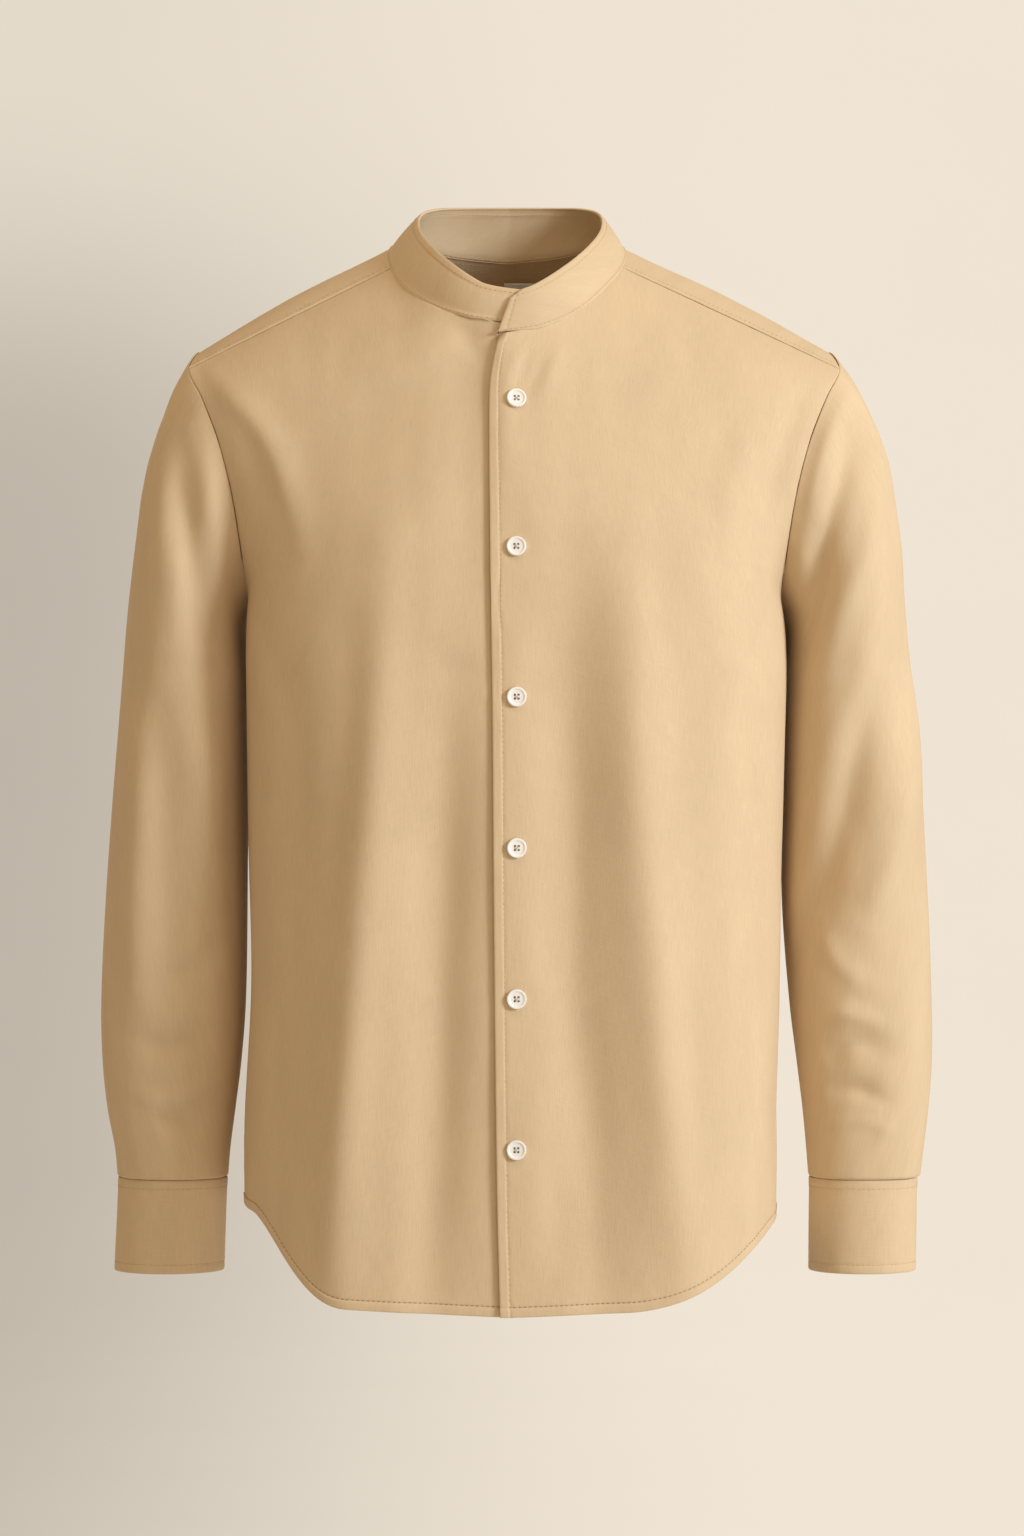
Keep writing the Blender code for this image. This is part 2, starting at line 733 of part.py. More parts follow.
def make_back(collection):
    across = spread(-1, 1, 20)
    down = BACK_ROWS + spread(BACK_CHEST, 1, 11)[1:]

    def place(t, v):
        return back_point(1 if t >= 0 else -1, abs(t), v)

    grid = grid_of(place, across, down)
    normals, outward = grid_normals(grid, False, torso_axis)
    grid = push(grid, normals, lambda p: add_fold_depths(p, BACK_FOLDS) * seam_fade(p))
    grid = pull_back(grid, ("top", "start", "end"))
    cloth_sheet("back", grid, False, outward, CLOTH, collection)


def make_yoke(collection):
    shares = YOKE_COLUMNS + spread(YOKE_ARMHOLE_SHARE, 1, 6)[1:]
    stations = [(-1, share) for share in shares] + [(1, share) for share in reversed(shares)][1:]
    down = spread(0, 1, 7)
    grid = [[yoke_point(side, share, t) for side, share in stations] for t in down]
    normals, outward = grid_normals(grid, False, torso_axis)
    grid = pull_back(grid, ("top", "bottom", "start", "end"))
    cloth_sheet("yoke", grid, False, outward, CLOTH, collection)


def sleeve_axis(side):
    def centre(point):
        middle = 0.5 * (200 + 280)
        return Vector((side * middle, 5.0, point.z))
    return centre


def sleeve_columns(side):
    """Shares round a sleeve that meet the rows of the front, the back and the yoke."""
    armhole = ARMHOLES[side]
    front = armhole.mark(FRONT_YOKE_CORNER)
    pit = armhole.mark(ARMPIT)
    back = armhole.mark(BACK_YOKE_CORNER)
    places = [front + (pit - front) * v / FRONT_CHEST for v in FRONT_ROWS]
    places += [pit + (back - pit) * (1 - v / BACK_CHEST) for v in reversed(BACK_ROWS[:-1])]
    places += [(front - (front + 1 - back) * share / YOKE_ARMHOLE_SHARE) % 1.0
               for share in reversed(YOKE_COLUMNS[1:-1])]
    return [sleeve_share(side, place) for place in places]


def make_sleeves(collection):
    down = spread(0, SLEEVE_CAP, 6) + spread(SLEEVE_CAP, 1, 12)[1:]
    for side, name in ((1, "sleeve_left"), (-1, "sleeve_right")):
        grid = grid_of(lambda share, v: sleeve_point(side, share, v), sleeve_columns(side), down)
        normals, outward = grid_normals(grid, True, sleeve_axis(side))
        low = grid[-1][0].z

        def amount(point, side=side):
            table = SLEEVE_FRONT_FOLDS if point.y < 5 else SLEEVE_BACK_FOLDS
            clear = ease((abs(point.x) - 190) / 14) * ease((point.z - low) / 40)
            facing = ease((abs(point.y - 5) - 6) / 26)
            return add_fold_depths(point, table[side]) * clear * facing + sleeve_tuck(point)

        first = [point.copy() for point in grid[0]]
        grid = push(grid, normals, amount)
        grid[0] = first
        grid = pull_back(grid, ("top", "bottom"), wrap=True)
        cloth_sheet(name, grid, True, outward, CLOTH, collection)


CUFF_OPENING = 0.84      # where the cuff's top end lies, as a share round it
CUFF_OVERLAP = 0.075


def cuff_point(table, side, share, v):
    """Point of a cuff band, whose under end steps inwards below the top end."""
    z = CUFF_SEAM + (CUFF_BOTTOM - CUFF_SEAM) * v
    low, high = table
    near, far, front, back = (a + (b - a) * v for a, b in zip(low[1:], high[1:]))
    turn = CUFF_OPENING - share * (1 + CUFF_OVERLAP)
    step = (BAND_CLOTH + 0.7) * ease((share * (1 + CUFF_OVERLAP) - 0.93) / 0.06)
    angle = 2 * math.pi * turn
    x = (near + far) / 2 + ((far - near) / 2 - step) * math.cos(angle)
    y = (front + back) / 2 - ((back - front) / 2 - step) * math.sin(angle)
    return Vector((side * x, y, z))


def make_cuffs(collection):
    for side, name, table in ((1, "cuff_left", CUFF_LEFT), (-1, "cuff_right", CUFF_RIGHT)):
        grid = grid_of(lambda share, v: cuff_point(table, side, share, v), spread(0, 1, 32), spread(0, 1, 2))
        normals, outward = grid_normals(grid, False, sleeve_axis(side))
        grid = pull_back(grid, ("top",))
        cloth_sheet(name, grid, False, outward, BAND_CLOTH, collection)


COLLAR_UNDER_END = 9.0       # x where the under end of the band stops
COLLAR_TOP_END = (-11.0, -0.7)   # x of the top end, at the neck seam and at the top edge


def collar_point(u, h):
    """Point of the band: u from the under end (-1) by the centre back (0) to the top end (1)."""
    side = 1 if u >= 0 else -1
    along = 1 - abs(u)
    base = NECK[side].at(along)
    top = COLLAR_EDGE[side].at(along)
    point = base.lerp(top, h)
    outward = Vector((point.x, point.y, 0.0)).normalized()
    point += outward * 1.6 * math.sin(math.pi * h)
    if u >= 0.999:
        point.x = COLLAR_TOP_END[0] + (COLLAR_TOP_END[1] - COLLAR_TOP_END[0]) * h
    if side < 0:
        reach = COLLAR_UNDER_END - NECK_CENTRE
        share = ease((abs(u) - 0.9) / 0.1)
        point.x += reach * share
        point += Vector((0, 1, 0)) * (BAND_CLOTH + 1.0) * ease((abs(u) - 0.62) / 0.3)
    return point


def make_collar(collection):
    grid = grid_of(collar_point, spread(-1, 1, 40), spread(0, 1, 3))
    normals, outward = grid_normals(grid, False, lambda p: Vector((NECK_CENTRE, -5.0, p.z)))
    grid = pull_back(grid, ("top",))
    cloth_sheet("collar", grid, False, outward, BAND_CLOTH, collection)


# ---------------------------------------------------------------- buttons and label

def cylinder_mesh(name, radius, depth, segments, places=((0, 0),)):
    shape = bmesh.new()
    for x, y in places:
        bmesh.ops.create_cone(
            shape, cap_ends=True, segments=segments, radius1=radius * MM, radius2=radius * MM,
            depth=depth * MM, matrix=Matrix.Translation((x * MM, y * MM, 0)),
        )
    mesh = bpy.data.meshes.new(name)
    shape.to_mesh(mesh)
    shape.free()
    return mesh


def make_button(name, seat, normal, collection, cutters):
    """Round four-hole button with a raised rim, lying on the cloth at seat and facing normal."""
    turn = normal.to_track_quat("Z", "Y").to_matrix().to_4x4()
    middle = Matrix.Translation((seat + normal * (0.5 + BUTTON_THICK / 2)) * MM) @ turn
    button = bpy.data.objects.new(name, cylinder_mesh(name, BUTTON_RADIUS, BUTTON_THICK, 28))
    button.matrix_world = middle
    finish(button, collection, "button", 0.35)
    rounding = button.modifiers.new("Rounded rim", "BEVEL")
    rounding.width = 0.5 * MM
    rounding.segments = 2
    dish = bpy.data.objects.new(name + "_dish", cylinder_mesh(name + "_dish", 4.7, 1.4, 28))
    dish.matrix_world = middle @ Matrix.Translation((0, 0, BUTTON_THICK / 2 * MM))
    places = [(x, y) for x in (-1.3, 1.3) for y in (-1.3, 1.3)]
    holes = bpy.data.objects.new(name + "_holes", cylinder_mesh(name + "_holes", 0.75, 8.0, 10, places))
    holes.matrix_world = middle
    for cutter in (dish, holes):
        cutters.objects.link(cutter)
        cutter.hide_render = True
        cutter.display_type = "WIRE"
        cut = button.modifiers.new("Cut " + cutter.name, "BOOLEAN")
        cut.object = cutter
        cut.operation = "DIFFERENCE"
        cut.solver = "EXACT"


def seat_on(grid, x, z):
    """Point and outward normal of a front grid at a place seen from the front."""
    for r in range(len(grid) - 1):
        for c in range(len(grid[0]) - 1):
            a, b, d, e = grid[r][c], grid[r][c + 1], grid[r + 1][c], grid[r + 1][c + 1]
            for p, q, s in ((a, b, d), (b, e, d)):
                area = (q.x - p.x) * (s.z - p.z) - (s.x - p.x) * (q.z - p.z)
                if abs(area) < 1e-9:
                    continue
                m = ((x - p.x) * (s.z - p.z) - (s.x - p.x) * (z - p.z)) / area
                n = ((q.x - p.x) * (z - p.z) - (x - p.x) * (q.z - p.z)) / area
                if m >= -1e-6 and n >= -1e-6 and m + n <= 1 + 1e-6:
                    normal = (q - p).cross(s - p).normalized()
                    if normal.y > 0:
                        normal = -normal
                    return p + (q - p) * m + (s - p) * n, normal
    raise ValueError("no cloth at %s, %s" % (x, z))


def make_buttons(top_front, collection, cutters):
    for k in range(BUTTON_COUNT):
        seat, normal = seat_on(top_front, BUTTON_LINE, BUTTON_TOP - k * BUTTON_PITCH)
        make_button("button_%d" % (k + 1), seat, normal, collection, cutters)
    for side, name, table in ((1, "left", CUFF_LEFT), (-1, "right", CUFF_RIGHT)):
        seat = cuff_point(table, side, 0.035, 0.5)
        beside = cuff_point(table, side, 0.045, 0.5) - cuff_point(table, side, 0.025, 0.5)
        normal = beside.cross(Vector((0, 0, 1))).normalized()
        if normal.dot(seat - sleeve_axis(side)(seat)) < 0:
            normal = -normal
        make_button("cuff_button_" + name, seat, normal, collection, cutters)


def make_label(collection):
    grid = [[Vector((x, y, z)) for x in (-7, 5, 17)] for y, z in ((73.0, -16), (81.5, -30), (88.5, -44))]
    cloth_sheet("label", grid, False, False, 0.8, collection)


def main():
    for old in list(bpy.data.objects):
        bpy.data.objects.remove(old, do_unlink=True)
    shirt = bpy.data.collections.new("Mandarin collar shirt")
    cutters = bpy.data.collections.new("Cutters")
    bpy.context.scene.collection.children.link(shirt)
    bpy.context.scene.collection.children.link(cutters)
    top_front = make_fronts(shirt)
    make_back(shirt)
    make_yoke(shirt)
    make_sleeves(shirt)
    make_cuffs(shirt)
    make_collar(shirt)
    make_buttons(top_front, shirt, cutters)
    make_label(shirt)


main()
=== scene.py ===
"""Mandarin collar shirt in its worn shape with no wearer: cloth, seams, stitching and buttons.

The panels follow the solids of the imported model. Their outlines are worked out in millimetres
from the neck seam, the armholes, the side seams and the hem, in the frame's own axes: origin at
the base of the neck, +Z up, the front facing -Y and the wearer's left at +X.
"""
import math

import bmesh
import bpy
from bpy.props import FloatProperty, FloatVectorProperty, PointerProperty
from mathutils import Matrix, Vector, noise


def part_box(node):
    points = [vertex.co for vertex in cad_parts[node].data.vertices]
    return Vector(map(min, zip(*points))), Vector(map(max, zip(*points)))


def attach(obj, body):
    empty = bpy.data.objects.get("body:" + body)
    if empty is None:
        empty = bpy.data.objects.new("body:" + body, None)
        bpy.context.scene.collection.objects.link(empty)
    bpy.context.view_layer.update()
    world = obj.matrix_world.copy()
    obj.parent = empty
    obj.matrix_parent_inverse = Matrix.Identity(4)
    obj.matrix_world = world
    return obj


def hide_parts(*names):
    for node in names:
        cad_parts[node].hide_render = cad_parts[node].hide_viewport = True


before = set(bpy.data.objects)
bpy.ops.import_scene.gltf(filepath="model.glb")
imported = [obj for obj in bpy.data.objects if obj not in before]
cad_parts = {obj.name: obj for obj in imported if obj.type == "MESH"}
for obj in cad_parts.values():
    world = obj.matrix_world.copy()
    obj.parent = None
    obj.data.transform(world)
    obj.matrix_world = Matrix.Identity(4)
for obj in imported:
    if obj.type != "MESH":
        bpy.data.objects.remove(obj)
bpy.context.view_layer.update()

bl_info = {
    "name": "Mandarin collar shirt",
    "version": (1, 0, 0),
    "blender": (4, 5, 0),
    "location": "3D View > Sidebar > Shirt",
    "description": "Sews a mandarin collar shirt from its panels, piece by piece",
    "category": "Object",
}

MM = 0.001

# Cloth and seams
BAND_CLOTH = 2.0         # collar and cuffs, two plies with stiffening
UNDERLAP_STEP = 2.6      # how far the under front lies inside the top front

# Front opening
UNDER_FRONT_EDGE = 16.0  # x of the under front's edge, past the centre line
NECK_CENTRE = -5.0       # x of the middle of the neck
CENTRE_LINE = -5.0       # x where the two halves of the fronts meet in shape

# Lengths
CHEST_LEVEL = -252.0     # height of the armpits
HEM_LEVEL = -731.0       # lowest point of the front hem
BACK_TAIL = -20.0        # how much lower the back hem is than the front hem
FRONT_HEM_RISE = {1: 55.0, -1: 68.0}     # how much the front hem climbs to each side seam
BACK_HEM_RISE = {1: 83.0, -1: 88.0}      # the same for the back hem
BACK_HEM_DIP = {1: 8.0, -1: 0.0}         # and how much it drops again just before the seam
FRONT_HEM_CURVE = {1: (0.27, 0.76), -1: (0.36, 0.45)}    # where the hem starts to climb, and for how long
BACK_HEM_CURVE = {1: (0.30, 0.53), -1: (0.32, 0.45)}
YOKE_BACK_LEVEL = -100.0 # height of the yoke seam across the back
CUFF_SEAM = -648.0
CUFF_BOTTOM = -713.0

# Buttons
BUTTON_TOP = -112.5
BUTTON_PITCH = 101.2
BUTTON_COUNT = 6
BUTTON_LINE = 1.5
BUTTON_RADIUS = 6.6
BUTTON_THICK = 2.6

# Edge of the top front. Columns: height, distance from the centre line.
TOP_FRONT_EDGE = (
    (-731, -9.5), (-650, -11.5), (-480, -13.5), (-330, -14.6), (-200, -16.3), (-102, -17), (-84, -15),
    (-66, -10.5),
)

# Neck seam, one half. Columns: distance from the middle, depth, height on the top-front side,
# height on the under-front side. From the centre front round to the centre back.
NECK_SEAM = (
    (0, -88, -66, -60),
    (24, -83, -61.5, -55),
    (49, -67, -49, -46),
    (70, -41, -28, -31),
    (81, -12, -11, -12),
    (81, 20, 4, 4),
    (63, 48, 5, 5),
    (34, 62, 1, 1),
    (0, 66, -2, -2),
)

# Top edge of the collar, one half. Columns: distance from the middle, depth, height.
COLLAR_TOP = (
    (0, -83, -37),
    (16, -79.5, -32.5),
    (36, -65, -19),
    (53, -39, -2.5),
    (63.5, -8, 14),
    (63.5, 20, 28),
    (52, 42, 34.5),
    (30, 54, 36.5),
    (0, 58, 37),
)
COLLAR_TOP_CENTRE = -2.5

# Armhole seam as a closed loop. Columns: distance from the centre line, depth, height.
# From the shoulder point forward, down to the armpit and up the back.
ARMHOLE = (
    (221, 2, -71),
    (226, -30, -86),
    (215, -52, -108),
    (203, -63, -138),
    (194, -66, -172),
    (188, -57, -210),
    (185, -32, -241),
    (184, 2, -252),
    (184, 38, -240),
    (186, 62, -208),
    (192, 72, -170),
    (202, 70, -136),
    (212, 60, -106),
    (219, 34, -82),
)
FRONT_YOKE_CORNER = 1    # row of the armhole table where the front yoke seam ends
ARMPIT = 7
BACK_YOKE_CORNER = 12

# Centre front and centre back outlines. Columns: height, depth.
CENTRE_FRONT = (
    (-60, -87), (-90, -98), (-130, -111), (-180, -124), (-252, -134),
    (-350, -137), (-480, -136), (-600, -135), (-735, -134),
)
CENTRE_BACK = (
    (-2, 66), (-30, 86), (-65, 101), (-100, 109), (-170, 118), (-252, 123),
    (-350, 123), (-450, 119), (-580, 118), (-760, 122),
)

# Side seams. Columns: height, distance from the centre line, depth, turn of the cloth there
# in degrees (90 runs straight back).
SIDE_SEAM_LEFT = (
    (-252, 185.5, 2, 97), (-290, 187, -4, 97), (-350, 186, -8, 97), (-450, 184.5, -12, 95),
    (-560, 184, -26, 90), (-665, 180, -46, 80), (-735, 178, -52, 78),
)
SIDE_SEAM_RIGHT = (
    (-252, 184, 2, 97), (-290, 184, -4, 97), (-350, 183.5, -8, 97), (-450, 183.5, -12, 95),
    (-560, 182.5, -20, 92), (-665, 187, -26, 88), (-735, 187, -28, 88),
)

# Sleeve rings below the armpit. Columns: height, nearest and farthest distance from the centre
# line, front depth, back depth.
SLEEVE_LEFT = (
    (-300, 188.5, 277.5, -68, 82), (-385, 188, 286, -62, 76), (-455, 188, 290, -54, 68),
    (-525, 193, 292.5, -47, 57), (-567, 198, 292.5, -43, 49), (-600, 202, 290, -40, 43),
    (-628, 204.5, 286.5, -38, 37), (CUFF_SEAM, 206, 284, -36.5, 33.5),
)
SLEEVE_RIGHT = (
    (-300, 187.5, 274, -68, 82), (-385, 187, 281, -62, 76), (-455, 187, 286, -54, 68),
    (-525, 188, 289, -47, 57), (-567, 191, 288, -43, 49), (-600, 195, 284.5, -40, 43),
    (-628, 198.5, 279, -38, 37), (CUFF_SEAM, 200, 277, -36.5, 33.5),
)

# Cuff rings. Columns: height, nearest and farthest distance, front depth, back depth.
CUFF_LEFT = ((CUFF_SEAM, 206.5, 282, -35, 32), (CUFF_BOTTOM, 206, 281, -36, 33))
CUFF_RIGHT = ((CUFF_SEAM, 200.5, 276.5, -35, 32), (CUFF_BOTTOM, 202.5, 279.5, -36, 33))

# ---------------------------------------------------------------- curves

def smooth(table, station):
    """Columns after the first, interpolated smoothly at a station of the first column."""
    rows = sorted(table)
    last = len(rows) - 1
    station = min(max(station, rows[0][0]), rows[last][0])
    k = 0
    while k < last - 1 and station > rows[k + 1][0]:
        k += 1
    low, high = rows[k], rows[k + 1]
    gap = high[0] - low[0]
    t = (station - low[0]) / gap
    before = rows[max(k - 1, 0)]
    after = rows[min(k + 2, last)]
    result = []
    for c in range(1, len(low)):
        slope_low = (high[c] - before[c]) / (high[0] - before[0])
        slope_high = (after[c] - low[c]) / (after[0] - low[0])
        result.append(
            (2 * t**3 - 3 * t**2 + 1) * low[c]
            + (t**3 - 2 * t**2 + t) * gap * slope_low
            + (3 * t**2 - 2 * t**3) * high[c]
            + (t**3 - t**2) * gap * slope_high
        )
    return result


def catmull(a, b, c, d, t):
    return 0.5 * (2 * b + (c - a) * t + (2 * a - 5 * b + 4 * c - d) * t**2 + (3 * b - a - 3 * c + d) * t**3)


class Path:
    """A smooth curve through points, followed by its length from 0 to 1."""

    def __init__(self, points, closed=False, steps=12):
        points = [Vector(p) for p in points]
        count = len(points)
        spans = count if closed else count - 1
        self.samples = []
        self.marks = []
        for k in range(spans):
            if closed:
                around = [points[(k + i) % count] for i in (-1, 0, 1, 2)]
            else:
                around = [points[min(max(k + i, 0), count - 1)] for i in (-1, 0, 1, 2)]
            self.marks.append(len(self.samples))
            for i in range(steps):
                self.samples.append(catmull(*around, i / steps))
        self.samples.append(points[0] if closed else points[-1])
        self.marks.append(len(self.samples) - 1)
        self.lengths = [0.0]
        for a, b in zip(self.samples, self.samples[1:]):
            self.lengths.append(self.lengths[-1] + (b - a).length)
        self.total = self.lengths[-1]

    def mark(self, row):
        """Where along the curve a row of its table lies."""
        return self.lengths[self.marks[row]] / self.total

    def at(self, share):
        goal = min(max(share, 0.0), 1.0) * self.total
        low, high = 0, len(self.lengths) - 1
        while high - low > 1:
            middle = (low + high) // 2
            if self.lengths[middle] <= goal:
                low = middle
            else:
                high = middle
        gap = self.lengths[high] - self.lengths[low]
        return self.samples[low].lerp(self.samples[high], (goal - self.lengths[low]) / gap)


def bezier(a, b, c, d, t):
    s = 1 - t
    return a * s**3 + b * (3 * s * s * t) + c * (3 * s * t * t) + d * t**3


def ease(value):
    value = min(max(value, 0.0), 1.0)
    return value * value * (3 - 2 * value)


def heading(degrees, side):
    angle = math.radians(degrees)
    return Vector((side * math.cos(angle), math.sin(angle), 0.0))


# ---------------------------------------------------------------- seam lines

def neck_path(side):
    """Neck seam from the centre front to the centre back on one side (+1 left, -1 right)."""
    column = 2 if side > 0 else 3
    return Path([(NECK_CENTRE + side * row[0], row[1], row[column]) for row in NECK_SEAM])


def collar_top_path(side):
    return Path([(COLLAR_TOP_CENTRE + side * row[0], row[1], row[2]) for row in COLLAR_TOP])


def armhole_path(side):
    return Path([(side * row[0], row[1], row[2]) for row in ARMHOLE], closed=True)


def side_seam(side, z):
    x, y, turn = smooth(SIDE_SEAM_LEFT if side > 0 else SIDE_SEAM_RIGHT, z)
    return Vector((side * x, y, z)), turn


NECK = {side: neck_path(side) for side in (1, -1)}
COLLAR_EDGE = {side: collar_top_path(side) for side in (1, -1)}
ARMHOLES = {side: armhole_path(side) for side in (1, -1)}
NECK_FRONT_SEAM = 0.47   # share of the half neck seam where the front yoke seam starts

# Rows of a front, from the yoke seam to the hem. Columns: station, turn at the centre, turn at
# the armhole or side, reach of the curve from the centre, reach from the side.
FRONT_SHAPE = (
    (0.00, -6, -4, 0.33, 0.33),
    (0.08, 0, 28, 0.36, 0.26),
    (0.16, 0, 50, 0.42, 0.17),
    (0.24, 0, 72, 0.47, 0.22),
    (0.32, 0, 84, 0.52, 0.35),
    (0.42, 0, 97, 0.57, 0.49),
    (0.60, 0, 97, 0.58, 0.43),
    (0.80, 0, 94, 0.58, 0.43),
    (1.00, 0, 88, 0.58, 0.42),
)
FRONT_CORNER = 0.20      # station of the corner between neck and front edge
FRONT_CHEST = 0.42       # station of the armpit

BACK_SHAPE = (
    (0.00, 0, 22, 0.36, 0.30),
    (0.10, 0, 46, 0.40, 0.21),
    (0.20, 0, 72, 0.46, 0.25),
    (0.27, 0, 86, 0.50, 0.34),
    (0.34, 0, 90, 0.54, 0.40),
    (0.55, 0, 90, 0.56, 0.42),
    (0.80, 0, 92, 0.56, 0.42),
    (1.00, 0, 96, 0.56, 0.44),
)
BACK_CHEST = 0.34


def row_curve(inner, outer, turn_in, turn_out, reach_in, reach_out, side, t):
    """A row of a panel, leaving its inner end and meeting its outer end in set directions."""
    chord = outer - inner
    flat = math.hypot(chord.x, chord.y)
    start = inner + heading(turn_in, side) * flat * reach_in
    start.z = inner.z + chord.z * reach_in
    stop = outer - heading(turn_out, side) * flat * reach_out
    stop.z = outer.z - chord.z * reach_out
    return bezier(inner, start, stop, outer, t)


def hem_lift(t, rise, curve):
    """Height of the curved hem above its lowest point, across from centre (0) to side (1)."""
    start, length = curve
    return rise * (0.2 * t + 0.8 * ease((t - start) / length))


def front_level(owner, v):
    """Height of the centre front at a station below the neck corner of the front it belongs to."""
    top = NECK[owner].at(0).z
    if v <= FRONT_CHEST:
        return top + (CHEST_LEVEL - top) * (v - FRONT_CORNER) / (FRONT_CHEST - FRONT_CORNER)
    return CHEST_LEVEL + (HEM_LEVEL - CHEST_LEVEL) * (v - FRONT_CHEST) / (1 - FRONT_CHEST)


def half_front(side, t, v, owner):
    """Point of one side of the fronts, from the neck or centre line (t 0) to the side (t 1)."""
    armhole = ARMHOLES[side]
    corner = armhole.mark(FRONT_YOKE_CORNER)
    pit = armhole.mark(ARMPIT)
    if v < FRONT_CORNER:
        inner = NECK[side].at(NECK_FRONT_SEAM * (1 - v / FRONT_CORNER))
    else:
        z = front_level(owner, v)
        inner = Vector((CENTRE_LINE, smooth(CENTRE_FRONT, z)[0], z))
    turn_in, turn_out, reach_in, reach_out = smooth(FRONT_SHAPE, v)
    lift = 0.0
    if v <= FRONT_CHEST:
        outer = armhole.at(corner + (pit - corner) * v / FRONT_CHEST)
    else:
        outer, turn_out = side_seam(side, z)
        share = (v - FRONT_CHEST) / (1 - FRONT_CHEST)
        lift = share * hem_lift(t, FRONT_HEM_RISE[side], FRONT_HEM_CURVE[side])
    point = row_curve(inner, outer, turn_in, turn_out, reach_in, reach_out, side, t)
    point.z += lift
    return point


def station_at_x(side, v, x, owner):
    """Where a row of one side reaches a given x near the centre."""
    low, high = 0.0, 0.5
    for _ in range(24):
        middle = (low + high) / 2
        if abs(half_front(side, middle, v, owner).x - CENTRE_LINE) < abs(x - CENTRE_LINE):
            low = middle
        else:
            high = middle
    return (low + high) / 2


def front_edge(side, v):
    """Station of a front's centre edge, which lies past the centre line on the other side."""
    if v < FRONT_CORNER - 1e-6:
        return 0.0
    if side > 0:
        edge = smooth(TOP_FRONT_EDGE, front_level(side, v))[0]
    else:
        edge = UNDER_FRONT_EDGE
    return -station_at_x(-side, v, edge, side)


def front_point(side, share, v, edges={}):
    """Point of a front: share across from its centre edge (0) to the side (1), v from yoke to hem."""
    if (side, v) not in edges:
        edges[side, v] = front_edge(side, v)
    t = edges[side, v] + (1 - edges[side, v]) * share
    if t < 0:
        return half_front(-side, -t, v, side)
    return half_front(side, t, v, side)


def back_point(side, t, v):
    """Point of the back: t from the centre (0) to the side (1), v from the yoke seam to the hem."""
    armhole = ARMHOLES[side]
    corner = armhole.mark(BACK_YOKE_CORNER)
    pit = armhole.mark(ARMPIT)
    bottom = HEM_LEVEL + BACK_TAIL
    if v <= BACK_CHEST:
        z = YOKE_BACK_LEVEL + (CHEST_LEVEL - YOKE_BACK_LEVEL) * v / BACK_CHEST
        outer = armhole.at(corner + (pit - corner) * v / BACK_CHEST)
        lift = 0.0
    else:
        share = (v - BACK_CHEST) / (1 - BACK_CHEST)
        z = CHEST_LEVEL + (bottom - CHEST_LEVEL) * share
        outer, turn = side_seam(side, CHEST_LEVEL + (HEM_LEVEL - CHEST_LEVEL) * share)
        outer = Vector((outer.x, outer.y, z))
        lift = share * (hem_lift(t, BACK_HEM_RISE[side], BACK_HEM_CURVE[side])
                        - BACK_HEM_DIP[side] * ease((t - 0.82) / 0.18))
    inner = Vector((0.0, smooth(CENTRE_BACK, z)[0], z))
    turn_in, turn_out, reach_in, reach_out = smooth(BACK_SHAPE, v)
    if v > BACK_CHEST:
        turn_out = 180 - turn
    point = row_curve(inner, outer, turn_in, -turn_out, reach_in, reach_out, side, t)
    point.z += lift
    return point


def yoke_outline(side, share):
    """Outer edge of half the yoke, from the front seam (0) by the armhole to the centre back (1)."""
    armhole = ARMHOLES[side]
    front = armhole.mark(FRONT_YOKE_CORNER)
    back = armhole.mark(BACK_YOKE_CORNER)
    if share <= YOKE_ARMHOLE_SHARE:
        place = front - (front + 1 - back) * share / YOKE_ARMHOLE_SHARE
        return armhole.at(place % 1.0)
    return back_point(side, (1 - share) / (1 - YOKE_ARMHOLE_SHARE), 0.0)


YOKE_ARMHOLE_SHARE = 0.45
SHOULDER_CROWN = 5.0     # how much the shoulder rounds up above a straight line


def yoke_point(side, share, t):
    """Point of the yoke: share from the front seam to the centre back, t from the neck outwards."""
    inner = NECK[side].at(NECK_FRONT_SEAM + (1 - NECK_FRONT_SEAM) * share)
    outer = yoke_outline(side, share)
    chord = outer - inner
    behind = ease((share - 0.25) / 0.6)
    level = chord * 0.36
    start = inner + Vector((level.x, level.y * (1 + 0.25 * behind), level.z * (1 - 0.45 * behind)))
    stop = outer - Vector((level.x, level.y * (1 - 0.78 * behind), level.z * (1 + 0.35 * behind)))
    point = bezier(inner, start, stop, outer, t)
    point.z += SHOULDER_CROWN * math.sin(math.pi * t) * (1 - behind)
    # the front seam is the front panel's top row
    if share < 0.2:
        seam = half_front(side, t, 0.0, side)
        point = seam.lerp(point, ease(share / 0.2))
    return point


def ring_point(table, side, z, share):
    """Point of a sleeve or cuff ring. share 0 is the outer side, 0.25 the front, 0.5 the inner."""
    near, far, front, back = smooth(table, z)
    angle = 2 * math.pi * share
    across = math.cos(angle)
    along = math.sin(angle)
    power = 0.92
    x = (near + far) / 2 + (far - near) / 2 * math.copysign(abs(across) ** power, across)
    y = (front + back) / 2 - (back - front) / 2 * math.copysign(abs(along) ** power, along)
    return Vector((side * x, y, z))


SLEEVE_START_RING = -300.0
SHOULDER_LEAVE = {1: (0.60, 0.78), -1: (0.48, 0.87)}  # how far out and down the sleeve sets off
SLEEVE_CAP = 0.42        # share of the sleeve grid above the first ring


def sleeve_leave(side, share):
    """Direction in which the sleeve leaves the armhole, by its place round the hole."""
    top = 0.5 + 0.5 * math.cos(2 * math.pi * share)
    low = 1 - top
    spread_out, drop = SHOULDER_LEAVE[side]
    front = math.sin(2 * math.pi * share)
    return Vector((side * (spread_out * top + 0.60 * low + 0.15 * abs(front)),
                   -0.28 * front,
                   -(drop * top + 0.80 * low))).normalized()


